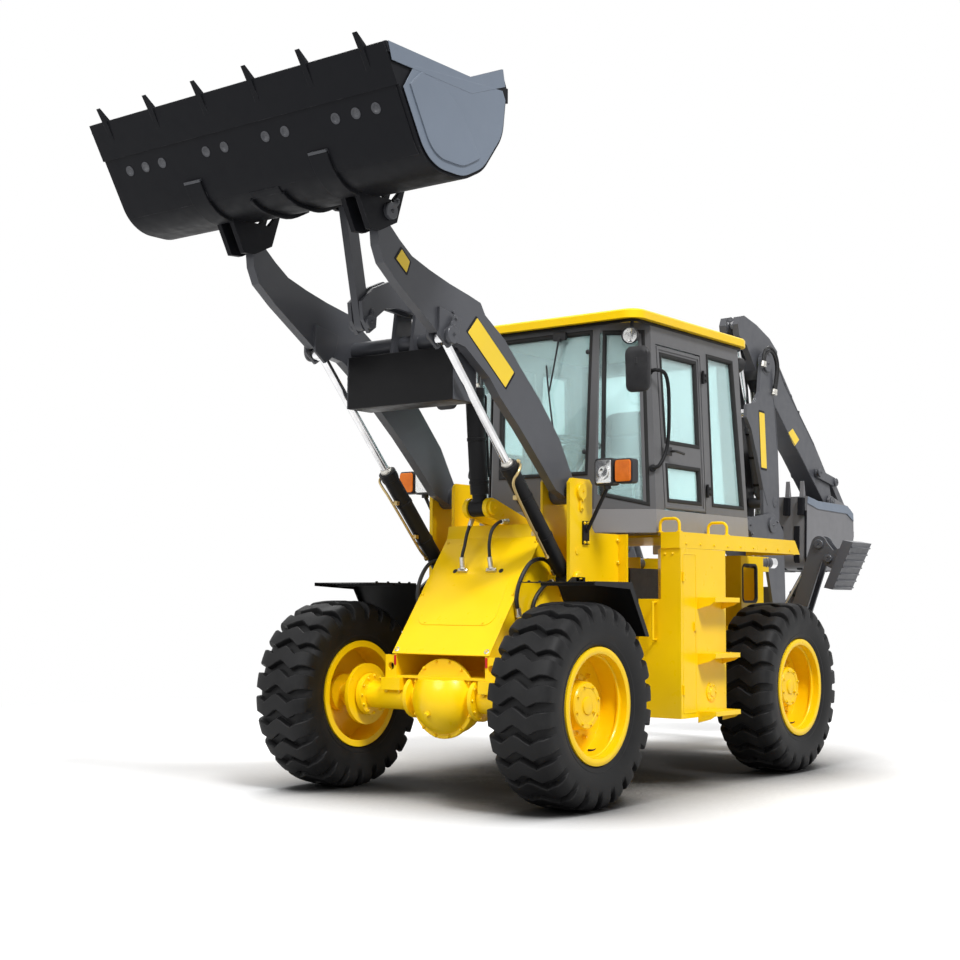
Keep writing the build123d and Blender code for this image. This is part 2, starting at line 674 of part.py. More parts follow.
def corner_prism(sign, grow):
    """A prism square to one of the cab's front corner walls, for its pane."""
    a, b = Vector(*cab_foot_plan[0]), Vector(*cab_foot_plan[1])
    run = (b - a).normalized()
    middle = (a + b) * 0.5
    place = Plane(origin=(sign * middle.X, fa(middle.Y) - 60, 0), x_dir=(sign * run.X, run.Y, 0),
                  z_dir=(sign * run.Y, -run.X, 0))
    wide = (b - a).length / 2
    tilt = place.x_dir.cross(place.z_dir).Z
    with BuildPart() as prism:
        with BuildSketch(place) as face:
            with BuildLine():
                Polyline((-wide + 60, -1860 * tilt), (wide - 55, -1800 * tilt), (wide - 85, -2920 * tilt),
                         (-wide + 75, -2920 * tilt), close=True)
            make_face()
            if grow:
                offset(amount=grow, kind=Kind.INTERSECTION)
        extrude(face.sketch, amount=-260)
    return prism.part


door_outline = [(1282, cab_sill), (1838, cab_sill), (1838, 2850), (1245, 2850)]
door_windows = [
    [(1345, 1830), (1770, 1830), (1770, 2060), (1337, 2060)],
    [(1335, 2215), (1770, 2215), (1770, 2790), (1310, 2790)],
]
rear_side_window = [(1935, 1830), (2370, 1830), (2290, 2860), (1935, 2860)]
door_gap = 7
windscreen = (1090, 345, 360, 2000, 2930)
rear_window = (2560, 560, 520, 1830, 2880)

base_wall = cab_layer(deck_top, cab_sill - 0.3, 0, cab_wall)
with BuildPart() as cab_base:
    add(base_wall)
    extrude(cab_plan(deck_top, cab_wall - 2, cab_foot_plan, cab_top_plan), amount=25)
cab_base.part.label = "cab_base"
export_step(cab_base.part, "parts/cab_base.step")

# What each wall opening cuts, and the slightly smaller prism that its pane is cut with.
opening_cuts = []
pane_cuts = []
for grow, cuts in [(0, opening_cuts), (-glass_gap, pane_cuts)]:
    cuts.append(side_prism(rear_side_window, grow))
    cuts.append(end_prism(*windscreen, grow))
    cuts.append(end_prism(*rear_window, grow))
    cuts.append(corner_prism(1, grow))
    cuts.append(corner_prism(-1, grow))

upper_wall = cab_layer(cab_sill, cab_top, 0, cab_wall)
door_hole = side_prism(door_outline, 0)
with BuildPart() as cab_frame:
    add(upper_wall)
    add([door_hole] + opening_cuts, mode=Mode.SUBTRACT)
cab_frame.part.label = "cab_frame"
export_step(cab_frame.part, "parts/cab_frame.step")

pane_depth = 20
pane_layer = cab_layer(cab_sill, cab_top, pane_depth, pane_depth + glass_thickness)
with BuildPart() as cab_glass:
    add(pane_layer)
    add(pane_cuts, mode=Mode.INTERSECT)
cab_glass.part.label = "cab_glass"
export_step(cab_glass.part, "parts/cab_glass.step")

leaf_depth = 4
leaf_layer = cab_layer(cab_sill, cab_top, leaf_depth, cab_wall - 8)
leaf_prism = side_prism(door_outline, -door_gap)
window_cuts = [side_prism(window, 0) for window in door_windows]
window_panes = [side_prism(window, -glass_gap) for window in door_windows]
for side_name, half_space in [("left", (1, 1200)), ("right", (-1200, -1))]:
    with BuildPart() as door:
        add(leaf_layer)
        add(leaf_prism, mode=Mode.INTERSECT)
        add(window_cuts, mode=Mode.SUBTRACT)
        block(half_space, (900, 2600), (1000, 3200), mode=Mode.INTERSECT)
    door.part.label = f"door_{side_name}"
    export_step(door.part, f"parts/door_{side_name}.step")
    with BuildPart() as door_glass:
        add(pane_layer)
        add(window_panes, mode=Mode.INTERSECT)
        block(half_space, (900, 2600), (1000, 3200), mode=Mode.INTERSECT)
    door_glass.part.label = f"door_glass_{side_name}"
    export_step(door_glass.part, f"parts/door_glass_{side_name}.step")

with BuildPart() as cab_roof:
    with BuildSketch(Plane.XY.offset(cab_top)) as roof_plan:
        with Locations((0, fa(1730))):
            RectangleRounded(1500, 1560, 110)
    extrude(roof_plan.sketch, amount=60)
    chamfer(cab_roof.faces().sort_by(Axis.Z)[-1].edges(), 12)
cab_roof.part.label = "cab_roof"
export_step(cab_roof.part, "parts/cab_roof.step")

with BuildPart() as seat_base:
    block((-200, 200), (1760, 2120), (1638, 1900))
    block((-240, 240), (1740, 2160), (1900, 1940))
    block((-150, 150), (2130, 2180), (1920, 2500))
seat_base.part.label = "seat_base"
export_step(seat_base.part, "parts/seat_base.step")

with BuildPart() as seat_cushion:
    block((-240, 240), (1680, 2110), (1940.3, 2050))
    fillet(seat_cushion.edges().filter_by(Axis.Z), 40)
seat_cushion.part.label = "seat_cushion"
export_step(seat_cushion.part, "parts/seat_cushion.step")

with BuildPart() as seat_back:
    block((-230, 230), (2015, 2129.7), (2050.3, 2560))
    fillet(seat_back.edges().filter_by(Axis.Y), 60)
seat_back.part.label = "seat_back"
export_step(seat_back.part, "parts/seat_back.step")

column_top = (1330, 2215)
column_foot = (1230, 1638)
with BuildPart() as dash:
    block((-260, 260), (1075, 1250), (1638, 2010))
    tube_run((0, *along(column_foot, column_top, 12)), (0, *column_top), 45)
    tube_run((0, *along(column_foot, column_top, 12)), (0, *along(column_foot, column_top, 640)), 14)
dash.part.label = "dash"
export_step(dash.part, "parts/dash.step")

wheel_plane = Plane(origin=(0, fa(column_top[0]), column_top[1]),
                    z_dir=(0, column_top[0] - column_foot[0], column_top[1] - column_foot[1]))
with BuildPart() as steering_wheel:
    with BuildSketch(wheel_plane.offset(12)) as hub:
        Circle(40)
    extrude(hub.sketch, amount=36)
    with BuildSketch(wheel_plane.offset(24)) as spokes:
        for turn in (0, 60, 120):
            Rectangle(360, 30, rotation=turn)
    extrude(spokes.sketch, amount=10)
    with BuildSketch(Plane(origin=wheel_plane.offset(29).origin, x_dir=wheel_plane.x_dir,
                           z_dir=wheel_plane.y_dir)) as grip:
        with Locations((185, 0)):
            Circle(13)
    revolve(grip.sketch, axis=Axis(wheel_plane.origin, wheel_plane.z_dir))
    with BuildSketch(wheel_plane) as column_bore:
        Circle(14 + pin_fit)
    extrude(column_bore.sketch, amount=100, mode=Mode.SUBTRACT)
steering_wheel.part.label = "steering_wheel"
export_step(steering_wheel.part, "parts/steering_wheel.step")

mirror_y = 920
with BuildPart() as mirrors:
    block((713.2, 730), (1200, 1240), (2780, 2820))
    tube_run((722, 1215, 2800), (775, mirror_y, 2800), 10)
    tube_run((775, mirror_y, 2810), (775, mirror_y, 2440), 8)
    block((680, 860), (mirror_y - 20, mirror_y + 20), (2490, 2785))
    mirror(about=Plane.YZ)
mirrors.part.label = "mirrors"
export_step(mirrors.part, "parts/mirrors.step")

# ---- Backhoe ----
post_side = [
    (4005, 1180), (3905, 1500), (3620, 1700), (3560, 1760), (3580, 1850), (3660, 1850), (3900, 1880),
    (4000, 1900), (4100, 1860), (4215, 1750), (4238, 1190), (4238, 760), (4000, 760),
]
post_x = boom_half_width + side_gap
with BuildPart() as swing_post:
    plate(post_x, post_x + 25, post_side)
    boss(80, post_x + 25, boom_pivot, boom_pin_radius)
    boss(0, post_x + 25, boom_ram_base, 28)
    mirror(about=Plane.YZ)
    block((-post_x - 5, post_x + 5), (4150, 4238), (760, 1300))
    for low, high in [(746, 800), (1015, 1069)]:
        block((-120, 120), (swing_y, 4200), (low, high))
        with BuildSketch(Plane.XY.offset(low)) as post_eye:
            with Locations((0, fa(swing_y))):
                Circle(90)
        extrude(post_eye.sketch, amount=high - low)
    with BuildSketch(Plane.XY.offset(700)) as post_bore:
        with Locations((0, fa(swing_y))):
            Circle(swing_pin_radius + pin_fit)
    extrude(post_bore.sketch, amount=420, mode=Mode.SUBTRACT)
swing_post.part.label = "swing_post"
export_step(swing_post.part, "parts/swing_post.step")

# Half of the boom is one plate; webs join the two. Distance behind the front axle, height.
boom_side = [
    (3925, 1760), (4000, 1700), (4110, 1740), (4205, 1850), (4205, 2100), (4190, 2440), (4160, 2680),
    (4130, 2850), (4090, 3110), (4060, 3200), (3992, 3230), (3915, 3180), (3870, 2880), (3780, 2780),
    (3650, 2750), (3640, 2650), (3720, 2560), (3800, 2380), (3915, 2081),
]
with BuildPart() as hoe_boom:
    plate(boom_half_width - 30, boom_half_width, boom_side)
    boss(boom_half_width - 30, boom_half_width + 4, boom_top, 92)
    boss(0, boom_half_width, dipper_ram_base, 26)
    boss(0, boom_half_width, boom_top, boom_pin_radius)
    mirror(about=Plane.YZ)
    block((-105, 105), (4165, 4190), (2120, 2420))
    boss(-post_x - 40, post_x + 40, boom_pivot, boom_pin_radius + pin_fit, mode=Mode.SUBTRACT)
hoe_boom.part.label = "hoe_boom"
export_step(hoe_boom.part, "parts/hoe_boom.step")

dipper_side = [
    (3590, 3400), (3620, 3465), (3700, 3485), (3915, 3440), (4147, 3360), (4290, 3270), (4290, 3160),
    (4418, 3005), (4701, 2776), (4993, 2542), (5272, 2260), (5335, 2060), (5280, 1992), (5190, 2020),
    (4884, 2272), (4692, 2430), (4502, 2568), (4225, 2800), (4060, 3010), (3900, 3060), (3735, 3249),
    (3610, 3310),
]
with BuildPart() as hoe_dipper:
    plate(-dipper_half_width, dipper_half_width, dipper_side)
    slot = 32
    plate(-slot, slot, [(3500, 3600), (4000, 3470), (3850, 3140), (3500, 3140)], mode=Mode.SUBTRACT)
    tail_slot = [(4120, 3600), (4400, 3600), (4400, 3130), (4300, 3200), (4150, 3270)]
    plate(-slot, slot, tail_slot, mode=Mode.SUBTRACT)
    boss(-200, 200, boom_top, boom_pin_radius + pin_fit, mode=Mode.SUBTRACT)
    boss(-200, 200, dipper_end, 25 + pin_fit, mode=Mode.SUBTRACT)
    boss(-dipper_half_width - 36, dipper_half_width + 36, hoe_rocker_pivot, 22)
    boss(-slot - 2, slot + 2, bucket_ram_base, 22)
hoe_dipper.part.label = "hoe_dipper"
export_step(hoe_dipper.part, "parts/hoe_dipper.step")

hoe_link_x = dipper_half_width + side_gap
hoe_shape = [(4500, 2060), (4470, 1442), (5080, 1442), (5440, 1720), (5440, 1955)]
with BuildPart() as hoe_bucket:
    extrude(shell_face(0, hoe_shape, 14, 110), amount=hoe_bucket_half_width - 6)
    sides = bucket_end(hoe_bucket_half_width - 16, hoe_shape, [(5300, 2020), (4700, 2030)], 110)
    extrude(sides, amount=16)
    for x in (195, 65):
        plate(x - 18, x + 18, [(4462, 1920), (4505, 2190), (4530, 2060), (4520, 1920)])
    ear = [(5225, 2015), (5215, 2075), (5260, 2115), (5330, 2095), (5630, 2030), (5675, 1985), (5640, 1935),
           (5440, 1790), (5300, 1690), (5260, 1900)]
    plate(hoe_link_x, hoe_link_x + 20, ear)
    boss(0, hoe_link_x + 20, dipper_end, 25)
    mirror(about=Plane.YZ)
hoe_bucket.part.label = "hoe_bucket"
export_step(hoe_bucket.part, "parts/hoe_bucket.step")

with BuildPart() as hoe_rocker:
    bar(hoe_link_x, hoe_link_x + 18, hoe_rocker_pivot, hoe_rocker_end, 38)
    boss(50, hoe_link_x + 18, hoe_rocker_end, 22)
    mirror(about=Plane.YZ)
    boss(-200, 200, hoe_rocker_pivot, 22 + pin_fit, mode=Mode.SUBTRACT)
hoe_rocker.part.label = "hoe_rocker"
export_step(hoe_rocker.part, "parts/hoe_rocker.step")

with BuildPart() as hoe_link:
    bar(-84, 84, hoe_rocker_end, hoe_link_end, 36)
    bar(-45, 45, along(hoe_rocker_end, hoe_link_end, -60), along(hoe_rocker_end, hoe_link_end, 60), 60,
        mode=Mode.SUBTRACT)
    for eye in (hoe_rocker_end, hoe_link_end):
        boss(-100, 100, eye, 22 + pin_fit, mode=Mode.SUBTRACT)
hoe_link.part.label = "hoe_link"
export_step(hoe_link.part, "parts/hoe_link.step")

# Backhoe rams: name, base, end, barrel radius, barrel start and end, rod radius, rod's inner end,
# width of the base eye, width of the rod eye, radii of the base pin and of the rod eye's bore.
hoe_rams = [
    ("boom_ram", boom_ram_base, boom_lug, 48, 70, 700, 25, 200, 2 * post_x - 12, 188, 28, 19),
    ("dipper_ram", dipper_ram_base, dipper_tail, 42, 65, 640, 20, 600, 180, 52, 26, 22),
    ("bucket_ram", bucket_ram_base, hoe_rocker_end, 36, 100, 880, 20, 760, 52, 60, 22, 22),
]
for ram, base, end, radius, first, last, rod_radius, inner, base_width, eye_width, pin, bore in hoe_rams:
    with BuildPart() as barrel:
        ram_barrel(0, base_width, base, end, radius, first, last, rod_radius, pin)
    barrel.part.label = f"{ram}_barrel"
    export_step(barrel.part, f"parts/{ram}_barrel.step")
    with BuildPart() as rod:
        ram_rod(0, eye_width, base, end, rod_radius, inner, bore)
    rod.part.label = f"{ram}_rod"
    export_step(rod.part, f"parts/{ram}_rod.step")


# ---- Stabilizers ----
def cross_face(y, outline):
    """A closed outline (x, z) as a face in the plane y, which faces forwards."""
    with BuildSketch(Plane.XZ.offset(-fa(y))) as face:
        with BuildLine():
            Polyline(*outline, close=True)
        make_face()
    return face.sketch


def cross_bar(y, start, end, radius):
    """A slot-shaped face in the plane y that joins two (x, z) points."""
    a, b = Vector(*start), Vector(*end)
    run = b - a
    place = Plane(origin=(a.X, fa(y), a.Y), x_dir=(run.X, 0, run.Y), z_dir=(0, -1, 0))
    with BuildSketch(place) as face:
        with Locations((run.length / 2, 0)):
            SlotCenterToCenter(run.length, 2 * radius)
    return face.sketch


def cross_pin(y0, y1, centre, radius, mode=Mode.ADD):
    """A pin along the machine between y0 and y1 round an (x, z) point."""
    tube_run((centre[0], y0, centre[1]), (centre[0], y1, centre[1]), radius, mode=mode)


leg_half = 60
leg_plate = 18
ram_length = span(leg_ram_base, leg_ram_pin)
front, back = leg_y - leg_half, leg_y + leg_half


def ram_place(distance):
    """A point of the left stabilizer's cylinder line, at a distance from its base pin."""
    x, z = along(leg_ram_base, leg_ram_pin, distance)
    return (x, leg_y, z)


with BuildPart() as leg:
    for y in (front + leg_plate, back):
        extrude(cross_bar(y, leg_pivot, leg_ram_pin, 62), amount=leg_plate)
        extrude(cross_bar(y, leg_ram_pin, pad_pin, 58), amount=leg_plate)
    cross_pin(front - 24, back + 24, pad_pin, 22)
    cross_pin(front, back, leg_spacer, 20)
    cross_pin(front - 20, back + 20, leg_pivot, leg_pin_radius + pin_fit, mode=Mode.SUBTRACT)

with BuildPart() as pad:
    extrude(cross_face(leg_y + 170, [(1090, 1631), (1169, 1615), (1005, 1267), (934, 1282)]), amount=340)
    for y in (front - side_gap, back + side_gap + leg_plate):
        ear_outline = [(895, 1520), (930, 1550), (1080, 1590), (1010, 1400), (900, 1455)]
        extrude(cross_face(y, ear_outline), amount=leg_plate)
    cross_pin(front - 60, back + 60, pad_pin, 22 + pin_fit, mode=Mode.SUBTRACT)

with BuildPart() as leg_barrel:
    tube_run(ram_place(0), ram_place(640), 34)
    tube_run(ram_place(600), ram_place(640), 37)
    cross_pin(leg_y - 34, leg_y + 34, leg_ram_base, 38)
    tube_run(ram_place(60), ram_place(660), 18 + pin_fit, mode=Mode.SUBTRACT)
    cross_pin(leg_y - 60, leg_y + 60, leg_ram_base, 22 + pin_fit, mode=Mode.SUBTRACT)

with BuildPart() as leg_rod:
    tube_run(ram_place(240), ram_place(ram_length), 18)
    cross_pin(leg_y - 28, leg_y + 28, leg_ram_pin, 36)
    cross_pin(leg_y - 60, leg_y + 60, leg_ram_pin, 20, mode=Mode.SUBTRACT)

for stabilizer_piece, left in [("leg", leg), ("pad", pad), ("barrel", leg_barrel), ("rod", leg_rod)]:
    left.part.label = f"stabilizer_{stabilizer_piece}_left"
    export_step(left.part, f"parts/stabilizer_{stabilizer_piece}_left.step")
    with BuildPart() as right:
        mirror(left.part, about=Plane.YZ)
    right.part.label = f"stabilizer_{stabilizer_piece}_right"
    export_step(right.part, f"parts/stabilizer_{stabilizer_piece}_right.step")
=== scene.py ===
# %% [markdown]
# # A backhoe loader, dressed
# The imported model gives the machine's true shapes: frames, arms, buckets, cab and wheels, each on its
# own joint. This lesson loads it as a fixed frame and adds what a maker adds last: paint, rubber,
# glass, tread, bolts, hoses, pins and trim. Nothing of the frame is moved.

from math import cos, pi, radians, sin

import bmesh
import bpy
import numpy as np
from mathutils import Matrix, Vector


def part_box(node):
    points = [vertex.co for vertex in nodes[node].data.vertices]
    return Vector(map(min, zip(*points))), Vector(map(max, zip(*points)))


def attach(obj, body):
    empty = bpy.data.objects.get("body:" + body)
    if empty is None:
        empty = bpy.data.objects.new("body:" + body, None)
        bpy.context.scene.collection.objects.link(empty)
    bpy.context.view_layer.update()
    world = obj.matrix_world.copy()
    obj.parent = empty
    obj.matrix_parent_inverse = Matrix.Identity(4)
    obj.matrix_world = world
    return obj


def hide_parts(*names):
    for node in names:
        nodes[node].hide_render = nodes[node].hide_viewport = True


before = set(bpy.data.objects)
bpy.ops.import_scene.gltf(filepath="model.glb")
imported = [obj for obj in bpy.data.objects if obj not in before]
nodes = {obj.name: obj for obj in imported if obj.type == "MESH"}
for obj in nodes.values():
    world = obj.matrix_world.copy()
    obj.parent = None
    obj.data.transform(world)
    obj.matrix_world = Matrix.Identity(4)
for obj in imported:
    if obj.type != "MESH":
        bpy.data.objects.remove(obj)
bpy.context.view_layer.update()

# %% [markdown]
# ## One way to say where
# The machine was drawn in millimetres, with depths counted back from the front axle. Keeping that
# habit here makes each number easy to check against the frame. One short function turns such a
# place into metres in the shared frame.

# %% Places
front_low, front_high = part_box("tyre_front_left")
rear_low, rear_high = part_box("tyre_rear_left")
front_axle, rear_axle = (front_low.y + front_high.y) / 2, (rear_low.y + rear_high.y) / 2
half_track, tyre_radius = (front_low.x + front_high.x) / 2, front_high.z / 2


def at(x, y, z):
    """A place x across, y behind the front axle and z above the ground, in mm, as metres."""
    return np.array([x / 1000, y / 1000 + front_axle, z / 1000])


def wall(x, y, z):
    """Many such places at once, from arrays of x, y and z. A single number stands for all of them."""
    return at(0, 0, 0) + np.stack(np.broadcast_arrays(x, y, z), 1) / 1000


print("front axle at", round(front_axle, 3), "rear axle at", round(rear_axle, 3))

# %% [markdown]
# ## The camera
# The view is from ahead and to one side, a little over a metre up, as someone walking round the
# machine would stand. A long lens keeps the near wheel from swelling. The camera's matrix is built
# from its three axes, so no aiming constraint is left in the file.

# %% Camera
def aim(place, yaw, pitch, roll):
    """A camera matrix: the view direction from yaw and pitch, its right and up turned by roll."""
    ahead = Vector((-sin(yaw) * cos(pitch), cos(yaw) * cos(pitch), sin(pitch)))
    right = Vector((cos(yaw), sin(yaw), 0))
    up = right.cross(ahead)
    turned_right = right * cos(roll) + up * sin(roll)
    turned_up = up * cos(roll) - right * sin(roll)
    rotation = Matrix((turned_right, turned_up, -ahead)).transposed().to_4x4()
    return Matrix.Translation(place) @ rotation


def placed(name, data):
    """A new object for a mesh, a lamp or a camera, in the scene."""
    made = bpy.data.objects.new(name, data)
    bpy.context.scene.collection.objects.link(made)
    return made


camera = placed("camera", bpy.data.cameras.new("camera"))
camera.data.lens = 56.77
camera.data.sensor_width = 36
camera.matrix_world = aim(Vector((5.7346, -9.1002, 1.1702)), 0.6517, 0.0798, 0.005)
bpy.context.scene.camera = camera
print("camera at", [round(c, 2) for c in camera.location])

# %% [markdown]
# ## Studio light
# Painted steel shows its folds when one side is lit more than the other. A wide sun stands for a big
# soft lamp high on the machine's near side, and two weaker ones fill the front and the back. The
# world is white where the camera, a mirror or the glass looks at it, and dimmer where it only lights.

# %% Lamps
def soft_sun(name, turn, height, strength, spread):
    """A sun that shines from a compass turn and a height, both in degrees, with soft shadows."""
    lamp = bpy.data.lights.new(name, "SUN")
    lamp.energy = strength
    lamp.angle = radians(spread)
    a, h = radians(turn), radians(height)
    toward = Vector((sin(a) * cos(h), -cos(a) * cos(h), sin(h)))
    placed(name, lamp).rotation_euler = toward.to_track_quat("Z", "Y").to_euler()


soft_sun("key_lamp", 66, 50, 2.75, 14)
soft_sun("front_lamp", -5, 42, 1.55, 30)
soft_sun("back_lamp", 215, 45, 1.1, 30)

world = bpy.data.worlds.new("studio")
bpy.context.scene.world = world
world.use_nodes = True
sky = world.node_tree
sky.nodes.clear()


def feed(tree, socket, value):
    """Gives an input socket a constant, a colour, or another node's output, which is linked to it."""
    if isinstance(value, bpy.types.NodeSocket):
        tree.links.new(value, socket)
    elif isinstance(value, tuple) and socket.type == "RGBA":
        socket.default_value = (*value, 1)
    else:
        socket.default_value = value


def add(tree, kind, inputs, **fields):
    """A new shader node of a kind: its fields are set first, then each input named or numbered."""
    made = tree.nodes.new("ShaderNode" + kind)
    for field, value in fields.items():
        setattr(made, field, value)
    for name, value in inputs.items():
        feed(tree, made.inputs[name], value)
    return made


def ranged(tree, value, low, high, to_low=0.0, to_high=1.0):
    """A value between low and high, stretched to lie between two others, and held there outside."""
    limits = {"From Min": low, "From Max": high, "To Min": to_low, "To Max": to_high}
    return add(tree, "MapRange", {"Value": value, **limits}).outputs[0]


def seen_rays(tree):
    """1 for rays that show a surface to the eye: straight, mirrored or through glass."""
    path = add(tree, "LightPath", {}).outputs
    mirrored_or_straight = add(tree, "Math", {0: path["Is Camera Ray"], 1: path["Is Glossy Ray"]},
                               operation="MAXIMUM")
    return add(tree, "Math", {0: mirrored_or_straight.outputs[0], 1: path["Is Transmission Ray"]},
               operation="MAXIMUM").outputs[0]


lighting_level = 0.34
world_level = ranged(sky, seen_rays(sky), 0, 1, lighting_level, 1)
backdrop = add(sky, "Background", {"Color": (1, 1, 1), "Strength": world_level})
add(sky, "OutputWorld", {"Surface": backdrop.outputs[0]})
bpy.context.scene.view_settings.view_transform = "Standard"

# %% [markdown]
# ## Shapes as arrays
# Every added piece is one of a few surfaces: a grid of points bent round a path, a profile turned
# round an axis, or an outline given a thickness. Each helper returns its points and faces as
# arrays, so that many small things, such as all the bolts of a wheel, become one piece.

# %% Surfaces
def sheet_of(rings, looped=False):
    """Rings of points joined by quads. The last ring joins the first, or a cap closes each end."""
    points = np.array(rings)
    rows, columns = points.shape[:2]
    r, c = np.meshgrid(np.arange(rows if looped else rows - 1), np.arange(columns), indexing="ij")
    r, c = r.ravel(), c.ravel()
    nr, nc = (r + 1) % rows, (c + 1) % columns
    quads = [r * columns + c, r * columns + nc, nr * columns + nc, nr * columns + c]
    faces = np.stack(quads, 1).tolist()
    if not looped:
        faces.append(list(range(columns))[::-1])
        faces.append(list(range((rows - 1) * columns, rows * columns)))
    return points.reshape(-1, 3), faces


def joined(parts):
    """Several surfaces as one, each one's faces counted on from the points before it."""
    points, faces, count = [], [], 0
    for some_points, some_faces in parts:
        points.append(some_points)
        faces += [[i + count for i in face] for face in some_faces]
        count += len(some_points)
    return np.concatenate(points), faces


def axes_for(direction):
    """Two unit vectors square to a direction and to each other."""
    d = np.array(direction, float)
    d /= np.linalg.norm(d)
    start = np.array([0, 0, 1.0]) if abs(d[2]) < 0.9 else np.array([1.0, 0, 0])
    side = np.cross(start, d)
    side /= np.linalg.norm(side)
    return side, np.cross(d, side), d


def ring_of(count, radius, centre, direction, start=0.0):
    """Points evenly round a circle about an axis: centre + radius * (cos * side + sin * up)."""
    side, up, _ = axes_for(direction)
    angle = start + np.arange(count) * 2 * pi / count
    return np.array(centre) + radius * (np.cos(angle)[:, None] * side + np.sin(angle)[:, None] * up)


def turned(profile, centre, direction, sides):
    """A profile of (distance along, radius) turned round an axis: centre + along + radius * circle."""
    ring = ring_of(sides, 1, (0, 0, 0), direction)
    d = axes_for(direction)[2]
    along, radius = np.array(profile, float).T
    points = np.array(centre) + along[:, None, None] * d + radius[:, None, None] * ring
    return sheet_of(points)


def hoop(section, centre, direction, sides):
    """A closed section of (distance along, radius) turned round an axis: a ring with a hole."""
    points = turned(section, centre, direction, sides)[0]
    return sheet_of(points.reshape(len(section), sides, 3), looped=True)


def smooth_line(corners, per_run=8):
    """A smooth line through corner points: each run is a cubic that leaves along its neighbours."""
    p = np.array(corners, float)
    padded = np.concatenate([[2 * p[0] - p[1]], p, [2 * p[-1] - p[-2]]])
    t = np.linspace(0, 1, per_run, endpoint=False)[:, None]
    a, b, c, d = padded[:-3, None], padded[1:-2, None], padded[2:-1, None], padded[3:, None]
    run = 0.5 * (2 * b + (c - a) * t + (2 * a - 5 * b + 4 * c - d) * t**2 + (3 * b - a - 3 * c + d) * t**3)
    return np.concatenate([run.reshape(-1, 3), p[-1:]])


def tube(line, radius, sides=10):
    """A tube round a line. Its ring is carried on from point to point, so that it doesn't twist."""
    line = np.array(line, float)
    radius = np.broadcast_to(radius, len(line))
    ahead = np.gradient(line, axis=0)
    ahead /= np.linalg.norm(ahead, axis=1)[:, None]
    side = axes_for(ahead[0])[0]
    angle = np.arange(sides) * 2 * pi / sides
    rings = []
    for point, direction, r in zip(line, ahead, radius):
        side = side - direction * (side @ direction)
        side /= np.linalg.norm(side)
        up = np.cross(direction, side)
        rings.append(point + r * (np.cos(angle)[:, None] * side + np.sin(angle)[:, None] * up))
    return sheet_of(rings)


def wire(corners, radius, per_run=8, sides=10):
    """A tube along a smooth line through corner points in mm."""
    return tube(smooth_line([at(*corner) for corner in corners], per_run), radius, sides)


def slab(outline, origin, across, upward, thickness, edge):
    """An outline in a plane, given a thickness, with its rim pulled in by a small edge at both faces."""
    flat = np.array(outline, float)
    middle = flat.mean(0)
    reach = np.linalg.norm(flat - middle, axis=1).max()
    shrunk = middle + (flat - middle) * (1 - edge / reach)
    u, v = np.array(across, float), np.array(upward, float)
    n = np.cross(u, v)
    levels = [(shrunk, 0), (flat, edge), (flat, thickness - edge), (shrunk, thickness)]
    rows = [np.array(origin) + s[:, :1] * u + s[:, 1:] * v + n * h for s, h in levels]
    return sheet_of(rows)


def side_slab(outline, x, thickness, edge):
    """A slab that lies along the machine: (y, z) corners in mm, from x outwards in metres."""
    flat = [at(0, y, z)[1:] for y, z in outline]
    return slab(flat, [x, 0, 0], (0, 1, 0), (0, 0, 1), thickness, edge)


def end_slab(outline, y, depth, edge):
    """A slab that faces ahead: (x, z) corners in mm, its back at y in mm, its depth in metres."""
    return slab(np.array(outline) / 1000, [0, at(0, y, 0)[1], 0], (1, 0, 0), (0, 0, 1), depth, edge)


def brick(low, high, edge=0.002):
    """A box between two corners with eased edges."""
    low, high = np.array(low, float), np.array(high, float)
    size = high - low
    outline = [(0, 0), (size[0], 0), (size[0], size[1]), (0, size[1])]
    return slab(outline, low, (1, 0, 0), (0, 1, 0), size[2], min(edge, *(size / 3)))


def bolt(centre, direction, radius, height):
    """A hexagon head with a chamfered top, on a round washer."""
    head = [(0, radius), (height * 0.8, radius), (height, radius * 0.82)]
    washer = [(0, radius * 1.35), (height * 0.22, radius * 1.35), (height * 0.25, radius * 1.25)]
    foot = np.array(centre) + axes_for(direction)[2] * height * 0.2
    return joined([turned(head, foot, direction, 6), turned(washer, centre, direction, 14)])


def bolts(centres, direction, radius, height):
    """The same bolt at several places."""
    return [bolt(centre, direction, radius, height) for centre in centres]


def mirrored(part):
    """The same surface on the machine's other side. Its faces are turned over to point outwards."""
    points, faces = part
    return points * [-1, 1, 1], [face[::-1] for face in faces]


def both(parts):
    """Surfaces of one side, and the same again on the other."""
    return parts + [mirrored(p) for p in parts]


def piece(name, parts, finish, body, smooth=35):
    """Joins surfaces into one object with its finish, and lets it ride on a body of the frame."""
    points, faces = joined(parts)
    mesh = bpy.data.meshes.new(name)
    mesh.from_pydata(points.tolist(), [], faces)
    shell = bmesh.new()
    shell.from_mesh(mesh)
    bmesh.ops.recalc_face_normals(shell, faces=shell.faces)
    shell.to_mesh(mesh)
    shell.free()
    mesh.shade_smooth()
    mesh.set_sharp_from_angle(angle=radians(smooth))
    mesh.materials.append(finish)
    made = placed(name, mesh)
    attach(made, body)
    return made

# %% [markdown]
# ## Finishes
# Sprayed machine paint is one colour, yet it never looks like one: it varies a little from panel to
# panel, gathers dust where it faces up, and wears pale along its edges. The Bevel node finds edges by
# comparing the true normal with a rounded one, and also rounds every sharp CAD edge in the light.

